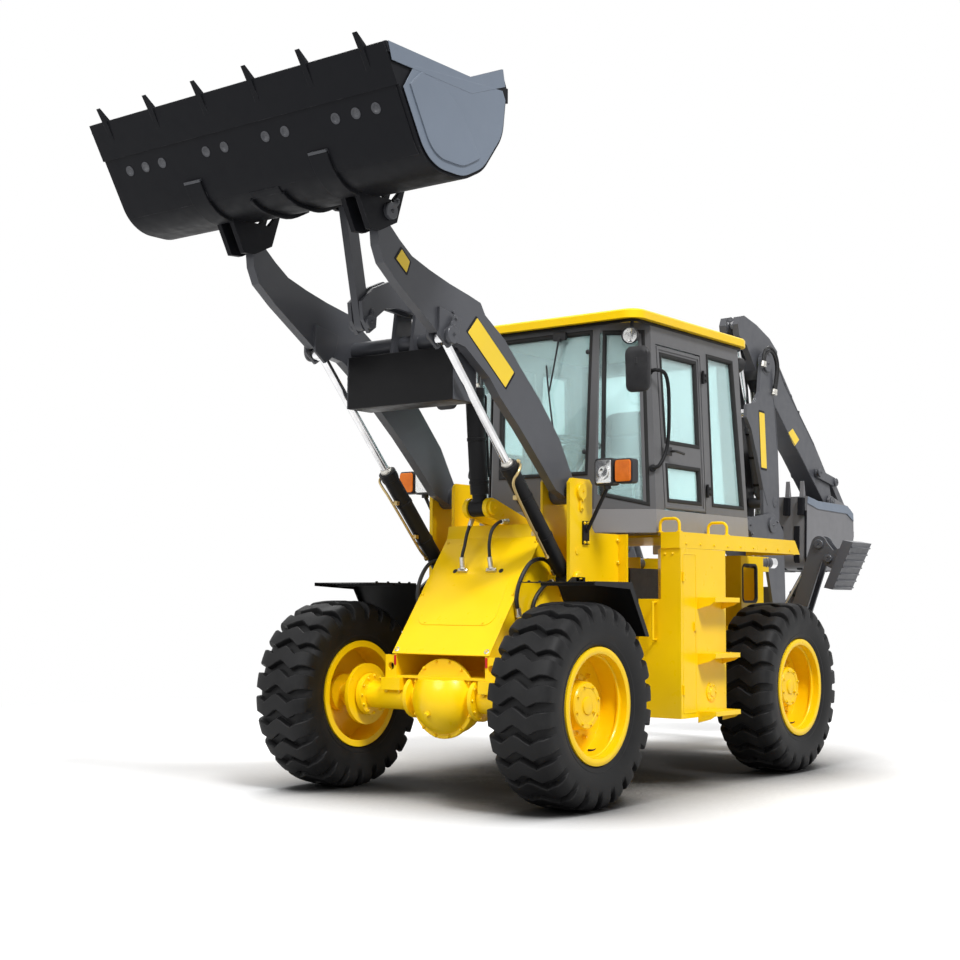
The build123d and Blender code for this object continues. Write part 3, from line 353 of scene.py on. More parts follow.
# %% Material helpers
def finish(name):
    """A new material with an empty Principled shader, and the Object coordinates that it reads."""
    material = bpy.data.materials.new(name)
    material.use_nodes = True
    tree = material.node_tree
    tree.nodes.clear()
    shader = add(tree, "BsdfPrincipled", {})
    add(tree, "OutputMaterial", {"Surface": shader.outputs[0]})
    return material, tree, shader, add(tree, "TexCoord", {}).outputs["Object"]


def noise(tree, where, scale, detail, rough=0.55):
    """A cloudy value from 0 to 1 that has this many lumps to a metre."""
    inputs = {"Vector": where, "Scale": scale, "Detail": detail, "Roughness": rough}
    return add(tree, "TexNoise", inputs).outputs[0]


def clouds_between(tree, where, scale, detail, rough, low, high, to_low=0.0, to_high=1.0):
    """The same clouds, with their middle values stretched to lie between two others."""
    return ranged(tree, noise(tree, where, scale, detail, rough), low, high, to_low, to_high)


def times(tree, one, other):
    """One value times another, which may be a number."""
    return add(tree, "Math", {0: one, 1: other}, operation="MULTIPLY").outputs[0]


def mixed(tree, share, first, second, blend="MIX"):
    """A colour that goes from first to second with share. Each is a colour or a socket."""
    colours = {"Factor": share, 6: first, 7: second}
    return add(tree, "Mix", colours, data_type="RGBA", blend_type=blend).outputs[2]


def bumped(tree, shader, height, depth, strength, rounding=0.0):
    """Turns a height into a bump of a depth in metres, over edges rounded in the light if asked."""
    bump = add(tree, "Bump", {"Strength": strength, "Distance": depth, "Height": height})
    if rounding:
        feed(tree, bump.inputs["Normal"], rounded_normal(tree, rounding))
    feed(tree, shader.inputs["Normal"], bump.outputs[0])


def rounded_normal(tree, radius):
    """The surface's direction as if its edges were rounded by a radius in metres."""
    return add(tree, "Bevel", {"Radius": radius}, samples=4).outputs[0]


def shade(colour, factor):
    """A colour made darker or lighter."""
    return tuple(min(1.0, c * factor) for c in colour)


# %% [markdown]
# ## Paint
# The recipe takes a colour and how dusty and worn it is. The same recipe paints the yellow body, the
# charcoal arms and cab, and the bucket, so that they look sprayed in one shop. The bucket's shell is the
# charcoal made darker, a painted shade, and its end plates are the charcoal made lighter, painted light.

# %% Painted steel
def edge_wear(tree, where, radius):
    """1 on sharp edges and 0 elsewhere: one less the true normal times the rounded one, broken up."""
    true_normal = add(tree, "NewGeometry", {}).outputs["Normal"]
    agree = add(tree, "VectorMath", {0: rounded_normal(tree, radius), 1: true_normal},
                operation="DOT_PRODUCT")
    sharp = ranged(tree, agree.outputs["Value"], 0.985, 0.9)
    return times(tree, sharp, clouds_between(tree, where, 9, 5, 0.7, 0.48, 0.62))


dust_colour = (0.33, 0.30, 0.25)
paint_grain, paint_rounding = 0.00012, 0.0035


def painted(name, colour, rough, coat, dust, wear, worn, gloss=0.5):
    """Sprayed steel: a colour that varies broadly, dust on what faces up, pale worn edges."""
    material, tree, shader, where = finish(name)
    broad = clouds_between(tree, where, 1.6, 4, 0.55, 0.3, 0.7)
    base = mixed(tree, broad, shade(colour, 0.93), shade(colour, 1.05))
    facing = add(tree, "SeparateXYZ", {0: add(tree, "NewGeometry", {}).outputs["Normal"]})
    lying = ranged(tree, facing.outputs["Z"], 0.35, 0.95)
    patches = clouds_between(tree, where, 5, 6, 0.65, 0.35, 0.75)
    dusty = mixed(tree, times(tree, times(tree, lying, patches), dust), base, dust_colour)
    rubbed = times(tree, edge_wear(tree, where, 0.006), wear)
    looks = {"Base Color": mixed(tree, rubbed, dusty, worn),
             "Roughness": clouds_between(tree, where, 14, 5, 0.6, 0.3, 0.7, rough - 0.06, rough + 0.1),
             "Coat Weight": coat, "Coat Roughness": 0.12, "Specular IOR Level": gloss}
    for socket, value in looks.items():
        feed(tree, shader.inputs[socket], value)
    bumped(tree, shader, noise(tree, where, 160, 2), paint_grain, 0.5, paint_rounding)
    return material


yellow = painted("yellow_paint", (1.0, 0.63, 0.002), 0.32, 0.12, 0.02, 0.1, (1.0, 0.75, 0.1), 0.25)
charcoal = painted("charcoal_paint", (0.078, 0.081, 0.092), 0.38, 0.1, 0.06, 0.35, (0.26, 0.26, 0.27), 0.3)
sill_grey = painted("cab_sill_paint", (0.25, 0.245, 0.25), 0.38, 0.1, 0.04, 0.25, (0.4, 0.4, 0.4), 0.3)
hoe_grey = painted("hoe_bucket_paint", (0.17, 0.17, 0.18), 0.4, 0.05, 0.05, 0.45, (0.35, 0.35, 0.36), 0.3)
cab_grey = painted("cab_paint", (0.115, 0.115, 0.12), 0.38, 0.1, 0.06, 0.25, (0.3, 0.3, 0.3), 0.3)
black = painted("black_paint", (0.009, 0.009, 0.01), 0.42, 0.0, 0.04, 0.3, (0.1, 0.1, 0.1), 0.16)
# The bucket's shell paint is the charcoal made much darker: painted shade of faces that look down and ahead.
bucket_painted_shade = painted("bucket_paint", (0.0105, 0.011, 0.0135), 0.46, 0.0, 0.02, 0.5, (0.12, 0.12, 0.13), 0.1)
# The bucket's end plate paint is the charcoal made lighter and bluer: painted light on sides that face the
# key lamp.
bucket_painted_light = painted("bucket_side_painted_light", (0.175, 0.21, 0.265), 0.4, 0.05, 0.03, 0.4, (0.3, 0.33, 0.36), 0.3)
print("paints made")

# %% [markdown]
# ## Rubber, plastic, cast iron and chrome
# Tyre rubber is a very dark grey with a dull sheen, scuffed lighter on its lugs. Moulded plastic has
# a fine grain. Cast iron is rough to the touch under its paint. A ground and chromed rod is nearly a
# mirror, with a haze of oil and rings left by its seal, so its pattern is stretched round the rod.

# %% Rubber and plastic
def dull(name, low, high, rough, scale, depth, wear=0.0, gloss=0.3):
    """A dull material: two close colours mixed in clouds, and a fine grain of a depth in metres."""
    material, tree, shader, where = finish(name)
    clouds = clouds_between(tree, where, scale, 6, 0.65, 0.35, 0.7)
    base = mixed(tree, clouds, low, high)
    if wear:
        scuffs = times(tree, edge_wear(tree, where, 0.005), wear)
        base = mixed(tree, scuffs, base, (0.07, 0.068, 0.066))
    feed(tree, shader.inputs["Base Color"], base)
    feed(tree, shader.inputs["Roughness"], ranged(tree, clouds, 0, 1, rough, rough + 0.15))
    feed(tree, shader.inputs["Specular IOR Level"], gloss)
    bumped(tree, shader, noise(tree, where, 420, 3), depth, 0.6, 0.003)
    return material


rubber = dull("tyre_rubber", (0.0045, 0.0045, 0.005), (0.013, 0.013, 0.0135), 0.5, 7, 0.0004, 0.5, 0.2)
hose_rubber = dull("hose_rubber", (0.012, 0.012, 0.013), (0.02, 0.02, 0.021), 0.4, 20, 0.0002)
plastic = dull("black_plastic", (0.017, 0.017, 0.019), (0.028, 0.028, 0.03), 0.42, 12, 0.00015)
seal_rubber = dull("seal_rubber", (0.008, 0.008, 0.008), (0.016, 0.016, 0.016), 0.55, 25, 0.0001)
iron = dull("cast_iron", (0.05, 0.047, 0.043), (0.1, 0.095, 0.09), 0.5, 14, 0.0006, 0.3)
yellow_plate = painted("plate_paint", (0.95, 0.66, 0.02), 0.4, 0.2, 0.03, 0.1, (0.9, 0.8, 0.4))


# %% Bright metal
def bright(name, colour, rough, ring_scale):
    """Bare metal: a mirror roughened a little by fine rings and by clouds of oil."""
    material, tree, shader, where = finish(name)
    feed(tree, shader.inputs["Metallic"], 1.0)
    oil = clouds_between(tree, where, 9, 5, 0.6, 0.35, 0.7)
    feed(tree, shader.inputs["Base Color"], mixed(tree, oil, shade(colour, 0.82), colour))
    rings = noise(tree, where, ring_scale, 2)
    feed(tree, shader.inputs["Roughness"], ranged(tree, rings, 0.3, 0.7, rough, rough + 0.14))
    bumped(tree, shader, rings, 0.00008, 0.4, 0.001)
    return material


chrome = bright("chrome_rod", (0.78, 0.78, 0.79), 0.1, 60)
zinc = bright("zinc_plate", (0.62, 0.6, 0.55), 0.28, 90)
brass = bright("plated_brass", (0.55, 0.42, 0.2), 0.3, 90)


# %% [markdown]
# ## Glass, lamps and cloth
# Cab glass is tinted a little green-blue, and about a quarter of each pane is a pale diffuse colour, a
# painted reflection. A lamp's ray would be stopped by real refraction, so for those rays alone the pane
# is made clear, and the cab's inside is lit. Lamp lenses are glass over a bright reflector. The seat's
# cloth is a fine weave of two greys.

# %% Glass
def glass(name, tint, rough, clear_share=1.0):
    """A tinted pane that lets lamp rays straight through. What isn't clear is pale diffuse colour, a painted
    reflection.
    """
    material, tree, shader, where = finish(name)
    tone = clouds_between(tree, where, 2, 2, 0.55, 0.3, 0.7)
    looks = {"Roughness": clouds_between(tree, where, 3.5, 5, 0.6, 0.4, 0.8, rough, rough + 0.05),
             "Base Color": mixed(tree, tone, tint, shade(tint, 1.04)),
             "Transmission Weight": clear_share, "IOR": 1.45}
    for socket, value in looks.items():
        feed(tree, shader.inputs[socket], value)
    clear = add(tree, "BsdfTransparent", {"Color": tint})
    for_lamps = add(tree, "LightPath", {}).outputs["Is Shadow Ray"]
    choose = add(tree, "MixShader", {0: for_lamps, 1: shader.outputs[0], 2: clear.outputs[0]})
    feed(tree, tree.nodes["Material Output"].inputs["Surface"], choose.outputs[0])
    return material


# The quarter of the cab glass that isn't clear is pale diffuse colour, a painted reflection of the bright
# sky.
cab_pane = glass("cab_glass", (0.78, 0.97, 0.97), 0.02, 0.74)
lens_clear = glass("clear_lens", (0.96, 0.97, 0.98), 0.04)
lens_amber = dull("amber_lens", (0.75, 0.16, 0.01), (0.95, 0.24, 0.02), 0.12, 8, 0.0003)
lens_red = dull("red_lens", (0.5, 0.012, 0.01), (0.7, 0.02, 0.015), 0.12, 8, 0.0003)
mirror_glass = bright("mirror_glass", (0.8, 0.84, 0.86), 0.02, 3)
reflector = bright("lamp_reflector", (0.92, 0.92, 0.9), 0.06, 40)


# %% Seat cloth
def woven(name, dark, light):
    """Plain weave from two crossed waves: light where one thread lies over the other."""
    material, tree, shader, where = finish(name)
    wave_inputs = {"Vector": where, "Scale": 110, "Distortion": 0.4}
    waves = [add(tree, "TexWave", wave_inputs, bands_direction=d).outputs["Fac"] for d in ("X", "Z")]
    threads = times(tree, *waves)
    base = mixed(tree, ranged(tree, threads, 0.1, 0.8), dark, light)
    patches = clouds_between(tree, where, 8, 4, 0.55, 0.3, 0.7)
    faded = mixed(tree, patches, (0.75, 0.75, 0.75), (1.0, 1.0, 1.0))
    looks = {"Base Color": mixed(tree, 1.0, base, faded, "MULTIPLY"), "Roughness": 0.85, "Sheen Weight": 0.3}
    for socket, value in looks.items():
        feed(tree, shader.inputs[socket], value)
    bumped(tree, shader, threads, 0.0006, 0.7)
    return material


seat_cloth = woven("seat_cloth", (0.018, 0.018, 0.02), (0.06, 0.06, 0.066))
print("finishes made:", len(bpy.data.materials))

# %% [markdown]
# ## Dressing the frame's own nodes
# A node whose shape is right keeps its mesh and only gets a better finish. One table says which. A
# name in it stands for every node that begins with it, such as the four tyres.

# %% Node finishes
node_finish = {
    yellow: "rear_frame side_boxes deck front_frame front_cover front_axle rear_axle rim_ cab_roof",
    charcoal: """loader_arms bucket_rocker bucket_link swing_post hoe_boom hoe_dipper hoe_rocker hoe_link
                 stabilizer_leg_ stabilizer_pad_ stabilizer_barrel_ boom_ram_barrel dipper_ram_barrel
                 bucket_ram_barrel""",
    sill_grey: "cab_base",
    cab_grey: "cab_frame door_left door_right",
    black: "front_fenders lift_barrels tilt_barrel",
    # The loader bucket's shell gets the darkened charcoal, painted shade.
    bucket_painted_shade: "loader_bucket",
    hoe_grey: "hoe_bucket",
    chrome: "lift_rods tilt_rod boom_ram_rod dipper_ram_rod bucket_ram_rod stabilizer_rod_",
    rubber: "tyre_",
    plastic: "dash steering_wheel mirrors headlamps seat_base",
    cab_pane: "cab_glass door_glass_",
    seat_cloth: "seat_cushion seat_back",
    iron: "engine",
}
left_over = set(nodes)
for material, names in node_finish.items():
    for name in sorted(nodes):
        if any(name.startswith(start) for start in names.split()):
            nodes[name].data.materials.clear()
            nodes[name].data.materials.append(material)
            left_over.remove(name)
print("nodes dressed:", len(nodes) - len(left_over), "left over:", sorted(left_over))

# %% [markdown]
# ## Tyres
# The frame's tyre is a plain ring. The real one carries two dozen lugs that run right across it in a
# flat W, with deep grooves between them that open at the shoulders. One surface does this: a grid
# whose rows follow the tyre's section and whose columns go round it. Each point lies between a
# groove floor and a lug top, and the columns sit exactly on the lugs' edges, so they stay crisp.

# %% Tyre surface
lug_count = 24
# Half a section from the rim outwards: side distance and radius in mm, of the lug top and the groove.
lug_half = np.array([
    (165, 306), (166, 331), (176, 338), (184, 352), (190, 366), (189, 372), (196, 392), (203, 430),
    (204, 458), (204, 470), (204.5, 500), (203, 522), (194, 545), (176, 567), (150, 578), (112, 583),
    (95, 584), (60, 584.8), (30, 584.8), (0, 584.8)])
groove_half = lug_half.copy()
groove_half[9:] = [
    (203, 474), (196, 492), (186, 507), (173, 523), (156, 536), (134, 543), (106, 546), (92, 546),
    (60, 547), (30, 547), (0, 547)]
# Round one lug's pitch: share of the pitch, height from groove floor to lug top.
lug_steps = np.array([
    (0.0, 0.0), (0.13, 0.0), (0.25, 0.0), (0.285, 0.9), (0.315, 1.0), (0.5, 1.0), (0.7, 1.0),
    (0.885, 1.0), (0.915, 0.9), (0.95, 0.0)])


def both_halves(half):
    """A full section: the half, and the same mirrored, meeting at the middle."""
    return np.concatenate([half, (half * [-1, 1])[-2::-1]])


def lug_bend(side):
    """How far round, in mm, a lug lies at a side distance: a flat W, ahead at the middle and the rim."""
    return np.interp(np.abs(side), [0, 20, 92, 150, 190, 205], [30, 24, -24, 2, 8, 8])


def tyre_surface(centre_x, axle_y, outward):
    """Points on rows of the section and columns round the tyre: floor + height * (top - floor)."""
    top, floor_line = both_halves(lug_half), both_halves(groove_half)
    inside = np.array([(-165, 306), (-100, 307), (0, 307), (100, 307), (165, 306)])
    top, floor_line = (np.concatenate([line, inside[1:-1]]) for line in (top, floor_line))
    pitch = 2 * pi / lug_count
    turn = (np.arange(lug_count)[:, None] + lug_steps[None, :, 0]).ravel() * pitch
    height = np.tile(lug_steps[:, 1], lug_count)[None, :, None]
    section = floor_line[:, None] + height * (top - floor_line)[:, None]
    bend = np.where(top[:, 1] > 460, lug_bend(top[:, 0]), 8) / tyre_radius / 1000
    angle = turn[None, :] + bend[:, None]
    x = centre_x + outward * section[..., 0] / 1000
    radius = section[..., 1] / 1000
    y = axle_y + radius * np.sin(angle)
    z = tyre_radius + radius * np.cos(angle)
    return sheet_of(np.stack([x, y, z], -1), looped=True)


wheels = [
    ("front_left", 1, front_axle), ("front_right", -1, front_axle),
    ("rear_left", 1, rear_axle), ("rear_right", -1, rear_axle),
]
for wheel, side, axle_y in wheels:
    tyre = piece(f"lugged_tyre_{wheel}", [tyre_surface(side * half_track, axle_y, side)], rubber,
                 f"wheel_{wheel}", 28)
    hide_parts(f"tyre_{wheel}")
print("tyres made, faces each:", len(tyre.data.polygons))

# %% [markdown]
# ## Rims and hubs
# Each rim is a deep yellow dish with a rolled lip and a lock ring. In its middle stands the hub of
# the final drive: a flange with a ring of bolts, and a drum with a smaller ring on its face. The
# valve is a short black stem on the dish's wall.

# %% Rims and hubs
def hub_parts(side, axle_y):
    """The turned hub, lip and lock ring of one wheel, and their bolts, outwards from its middle."""
    out = np.array([side, 0, 0], float)
    middle = np.array([side * half_track, axle_y, tyre_radius])

    def along(distance):
        return middle + out * distance

    hub = [(0.009, 0.178), (0.03, 0.178), (0.034, 0.174), (0.036, 0.142), (0.05, 0.138), (0.098, 0.134),
           (0.106, 0.127), (0.107, 0.1), (0.104, 0.097), (0.104, 0.052), (0.112, 0.049), (0.114, 0.044)]
    lip = [(0.166, 0.294), (0.183, 0.294), (0.1865, 0.3), (0.1875, 0.312), (0.186, 0.326), (0.181, 0.3325),
           (0.176, 0.33), (0.174, 0.31)]
    step = [(0.118, 0.294), (0.118, 0.284), (0.124, 0.279), (0.134, 0.279), (0.14, 0.284), (0.14, 0.294)]
    parts = [turned(hub, middle, out, 48)]
    parts += [hoop(ring, middle, out, 72) for ring in (lip, step)]
    for count, ring_radius, place, start, radius, height in [
            (12, 0.158, 0.034, 0, 0.011, 0.012), (8, 0.113, 0.106, 0.3, 0.008, 0.009),
            (10, 0.215, 0.008, 0.2, 0.012, 0.02)]:
        parts += bolts(ring_of(count, ring_radius, along(place), out, start), out, radius, height)
    parts.append(bolt(along(0.105) + [0, 0.062, -0.035], out, 0.012, 0.012))
    return parts, middle, out


for wheel, side, axle_y in wheels:
    parts, middle, out = hub_parts(side, axle_y)
    piece(f"hub_{wheel}", parts, yellow, f"wheel_{wheel}")
    stem = [middle + out * x + [0, y, z] for x, y, z in
            [(0.03, 0.12, -0.262), (0.05, 0.125, -0.262), (0.062, 0.14, -0.26), (0.064, 0.175, -0.25)]]
    cap = [(0, 0.0085), (0.022, 0.0085), (0.024, 0.006)]
    piece(f"valve_{wheel}", [tube(smooth_line(stem, 6), 0.006), turned(cap, stem[-1], [0, 1, 0.25], 10)],
          seal_rubber, f"wheel_{wheel}")
print("hubs made")

# %% [markdown]
# ## Axle castings
# The axle is a banjo casting: a round middle for the differential with a bolted cover and a plug, and
# arms that end in flanges. Bolt rings and a seam flange are what tell it from a ball on a bar. A
# painted brake disc and its caliper stand beside each wheel.

# %% Axle details
flange = [(-0.012, 0.16), (-0.012, 0.236), (-0.008, 0.24), (0.008, 0.24), (0.012, 0.236), (0.012, 0.16)]
neck = [(0.228, 0.088), (0.235, 0.13), (0.262, 0.13), (0.27, 0.088)]
disc = [(0.652, 0.1), (0.652, 0.191), (0.678, 0.191), (0.678, 0.1)]
caliper_reach = np.array([0.035, 0.05, 0.07])
for axle, axle_y, body, ahead in [("front", front_axle, "front", -1), ("rear", rear_axle, "chassis", 1)]:
    middle = np.array([0, axle_y, tyre_radius])
    facing = np.array([0, ahead, 0], float)
    parts = [turned(flange, middle + facing * 0.05, facing, 56)]
    parts += bolts(ring_of(14, 0.228, middle + facing * 0.062, facing), facing, 0.009, 0.012)
    parts.append(bolt(middle + [0, ahead * 0.205, -0.085], [0, ahead, -0.42], 0.016, 0.016))
    calipers, discs = [], []
    for side in (1, -1):
        out = np.array([side, 0, 0], float)
        parts.append(turned(neck, middle, out, 36))
        parts += bolts(ring_of(10, 0.114, middle + out * 0.262, out), out, 0.008, 0.01)
        parts += bolts(ring_of(12, 0.116, middle + out * 0.6, out), -out, 0.008, 0.01)
        carriers = [middle + [side * x, y, 0.04] for y in (-0.085, 0.085) for x in (0.325, 0.425)]
        parts += bolts(carriers, [0, 0, -1], 0.012, 0.014)
        discs.append(hoop(disc, middle, out, 56))
        centre = middle + [side * 0.665, -ahead * 0.15, 0]
        calipers.append(brick(centre - caliper_reach, centre + caliper_reach, 0.012))
    piece(f"{axle}_axle_bolts", parts, yellow, body)
    piece(f"{axle}_brake_discs", discs, yellow, body)
    piece(f"{axle}_brake_calipers", calipers, iron, body)
print("axles made")

# %% [markdown]
# ## The sloping front cover
# The cover over the front frame is a folded sheet with a hatch. The hatch is a second, thin sheet
# with rounded lower corners; it is laid on the cover's own slope, so its points are given as a
# distance up the slope and a distance across.

# %% Front cover
cover_foot, cover_knee = at(0, -98, 850), at(0, 437, 1568)
up_slope = (cover_knee - cover_foot) / np.linalg.norm(cover_knee - cover_foot)
across = np.array([1.0, 0, 0])
off_slope = np.cross(across, up_slope)


def on_cover(x, distance, lift=0.0):
    """A place on the cover: x across and a distance up its slope in mm, lifted off it."""
    return cover_foot + across * x / 1000 + up_slope * distance / 1000 + off_slope * lift / 1000


def rounded(corners, radii, steps=6):
    """An outline with each corner replaced by an arc that touches both of its sides."""
    p = np.array(corners, float)
    out = []
    for i, radius in enumerate(radii):
        before, here, after = p[i - 1], p[i], p[(i + 1) % len(p)]
        a, b = before - here, after - here
        a, b = a / np.linalg.norm(a), b / np.linalg.norm(b)
        half = np.arccos(np.clip(a @ b, -1, 1)) / 2
        reach = radius / np.tan(half)
        centre = here + (a + b) / np.linalg.norm(a + b) * radius / np.sin(half)
        start, end = here + a * reach - centre, here + b * reach - centre
        if radius == 0:
            out.append(here)
            continue
        swing = np.arctan2(start[0] * end[1] - start[1] * end[0], start @ end)
        t = np.linspace(0, swing, steps)[:, None]
        turn = np.concatenate([start[0] * np.cos(t) - start[1] * np.sin(t),
                               start[0] * np.sin(t) + start[1] * np.cos(t)], 1)
        out += list(centre + turn)
    return np.array(out)


hatch = rounded([(-0.3, 0.215), (0.3, 0.215), (0.268, 0.6), (-0.268, 0.6)], [0.07, 0.07, 0.012, 0.012])
hatch_parts = [slab(hatch, on_cover(0, 0), across, up_slope, 0.0035, 0.001)]
hatch_parts += bolts([on_cover(x, 232, 3.5) for x in (-225, 225)], off_slope, 0.007, 0.005)
edge_places = [(side * x, up) for x, up in [(345, 28), (350, 450), (345, 860)] for side in (-1, 1)]
hatch_parts += bolts([on_cover(*place) for place in edge_places], off_slope, 0.008, 0.006)
piece("cover_hatch", hatch_parts, yellow, "front")
washers = [turned([(0, 0.017), (0.003, 0.017), (0.004, 0.014)], on_cover(x, 28), off_slope, 20)
           for x in (-345, 345)]
for x in (-112, 112):
    washers.append(slab([(-0.036, 0), (0.036, 0), (0.036, 0.022), (-0.036, 0.022)], on_cover(x, 618), across,
                        up_slope, 0.02, 0.003))
    washers += bolts([on_cover(x + dx, 629, 20) for dx in (-24, 24)], off_slope, 0.0065, 0.007)
piece("cover_fittings", washers, zinc, "front")
holes = [turned([(-0.002, 0.016), (0.0012, 0.016), (0.0014, 0.012)], on_cover(x, 632), off_slope, 20)
         for x in (-180, 180)]
piece("cover_hose_holes", holes, seal_rubber, "front")

# %% [markdown]
# ## Hoses
# A hydraulic hose is held at both ends, so it takes the gentlest curve between its fittings. Each is
# a tube round a smooth line through a few points: out of the fitting, over the bend, into the next.
# A crimped metal sleeve and a hexagon nut finish each end.

# %% Hose helpers
def hoses(name, routes, radius, body, sleeve_length=0.05, both_sides=True, ends=None):
    """The hoses through some routes in mm, and their fittings, as two pieces that ride on a body."""
    rubber_parts = [wire(route, radius, 10) for route in routes]
    metal_parts = [part for route in routes for part in ferrules(route, radius, sleeve_length)]
    if both_sides:
        rubber_parts, metal_parts = both(rubber_parts), both(metal_parts)
    piece(name, rubber_parts, hose_rubber, body)
    piece(ends or name[:-1] + "_ends", metal_parts, zinc, body)


def ferrules(corners, radius, length):
    """The crimped sleeves and nuts at the two ends of a hose, pointing along its first and last run."""
    p = np.array([at(*c) for c in corners])
    parts = []
    for end, inner in [(p[0], p[1]), (p[-1], p[-2])]:
        d = (inner - end) / np.linalg.norm(inner - end)
        sleeve = [(0, radius * 1.05), (0.012, radius * 1.1), (0.014, radius * 1.45), (length, radius * 1.4),
                  (length + 0.002, radius * 1.05)]
        parts.append(turned(sleeve, end, d, 14))
        parts.append(turned([(-0.002, radius * 1.6), (0.012, radius * 1.6)], end, d, 6))
    return parts


cover_hoses = [
    [(-112, 268, 1375), (-108, 256, 1440), (-92, 262, 1515), (-84, 280, 1600), (-78, 330, 1700)],
    [(112, 268, 1375), (113, 250, 1445), (118, 240, 1530), (125, 260, 1610), (128, 330, 1660),
     (124, 420, 1670)],
]
hoses("tilt_hoses", cover_hoses, 0.011, "front", 0.07, both_sides=False)
loop_hoses = [
    [(395, 560, 1330), (396, 500, 1400), (398, 400, 1430), (397, 280, 1400), (392, 190, 1300),
     (385, 160, 1190), (380, 190, 1080)],
    [(393, 560, 1290), (394, 500, 1290), (394, 420, 1255), (390, 350, 1190), (386, 320, 1110),
     (382, 330, 1040)],
]
hoses("lift_hoses", loop_hoses, 0.013, "front")
print("hoses made")

# %% [markdown]
# ## Front frame trim
# Pins with keeper plates hold the arms and cylinders in the towers. Bolted edges, a red reflector
# at each lower corner and weld beads along the folds make the frame read as a welded fabrication.

# %% Pins, keepers and welds
def pin_head(x, y, z, side, radius, reach=0.016):
    """A pin's end: a chamfered disc with a grease nipple in its middle."""
    out = np.array([side, 0, 0], float)
    centre = at(x, y, z)
    disc = [(0, radius), (reach, radius), (reach + 0.004, radius - 0.004), (reach + 0.004, 0.012),
            (reach + 0.001, 0.01)]
    nipple = [(reach, 0.005), (reach + 0.01, 0.005), (reach + 0.014, 0.003), (reach + 0.018, 0.0035)]
    return [turned(disc, centre, out, 28), turned(nipple, centre, out, 10)]


def keeper(x, y, z, side, angle, length, thickness=0.01):
    """A strap beside a pin, turned by an angle in its plane, with two bolts."""
    out = np.array([side, 0, 0], float)
    along_strap = np.array([0, cos(angle), sin(angle)])
    width = np.cross(out, along_strap)
    outline = rounded([(-0.02, -0.017), (length, -0.017), (length, 0.017), (-0.02, 0.017)], [0.015] * 4)
    origin = at(x, y, z)
    ends = [origin + along_strap * d + out * thickness for d in (0.0, length - 0.022)]
    return [slab(outline, origin, along_strap, width, thickness, 0.002)] + bolts(ends, out, 0.009, 0.01)


def weld(corners, radius=0.004):
    """A weld bead: a thin tube along a line whose thickness ripples a little."""
    p = np.array([at(*c) for c in corners])
    runs = [np.linspace(a, b, max(3, int(np.linalg.norm(b - a) / 0.012)), endpoint=False)
            for a, b in zip(p[:-1], p[1:])]
    line = np.concatenate(runs + [p[-1:]])
    ripple = radius * (1 + 0.18 * np.sin(np.arange(len(line)) * 2.2))
    return tube(line, ripple, 6)


tower_face = 555
rightwards = np.array([1.0, 0, 0])
front_parts = pin_head(tower_face, 600, 1850, 1, 0.052) + pin_head(tower_face, 560, 1310, 1, 0.045)
front_parts += keeper(tower_face, 600, 1795, 1, radians(-90), 0.07)
front_parts += bolts([at(tower_face, 1020, z) for z in (1260, 1420, 1560)], rightwards, 0.012, 0.012)
front_parts.append(turned([(0, 0.022), (0.004, 0.022)], at(tower_face, 560, 1480), rightwards, 20))
front_parts += bolts([at(567, y, z) for y in (625, 665) for z in (1535, 1655)], rightwards, 0.008, 0.008)
front_parts += [weld([(358, 760, 1200), (358, 1040, 1200)]), weld([(533, 660, 1221), (533, 1040, 1221)]),
                weld([(357, 470, 1640), (357, 470, 1900)])]
piece("front_frame_trim", both(front_parts), yellow, "front")
reflectors = [brick(at(343, -96, 778), at(358, -91, 838), 0.001)]
piece("corner_reflectors", both(reflectors), lens_red, "front")
tilt_pin = pin_head(92, 300, 1750, 1, 0.046) + pin_head(-92, 300, 1750, -1, 0.046)
piece("tilt_pin_ends", tilt_pin, yellow, "front")

# %% [markdown]
# ## Fenders
# The black fenders are folded from sheet: a flat top, a steep rear flap and a turned-down outer edge.
# A stiffening rib under the top and a row of bolts on the inner edge hold them to the towers.

# %% Fender trim
fender_parts = bolts([at(590, y, 1284) for y in (0, 110, 220, 320)], [0, 0, 1], 0.008, 0.007)
fender_parts.append(brick(at(575, 140, 1262), at(1070, 160, 1278), 0.001))
rim_line = [at(1077, y, z) for y, z in [(-50, 1281), (346, 1281), (533, 976)]]
fender_parts.append(tube(np.concatenate([np.linspace(rim_line[0], rim_line[1], 12, endpoint=False),
                                         np.linspace(rim_line[1], rim_line[2], 12)]), 0.0035, 8))
piece("fender_trim", both(fender_parts), black, "front")

# %% [markdown]
# ## Headlamps
# Each headlamp is a black shell on a slanting post, with a square white lamp and an amber indicator
# beside it. The shells are rounded boxes built from a rounded outline given a depth; the lenses are
# shallow crowned panes set in front of a bright reflector bowl.

# %% Headlamp pieces
def lamp_box(x0, x1, y0, y1, z0, z1, radius=20, edge=0.006):
    """A rounded box between limits in mm. Its outline is seen from ahead, its depth runs back."""
    flat = rounded([(x0, z0), (x1, z0), (x1, z1), (x0, z1)], [radius] * 4)
    return end_slab(flat, y1, (y1 - y0) / 1000, edge)


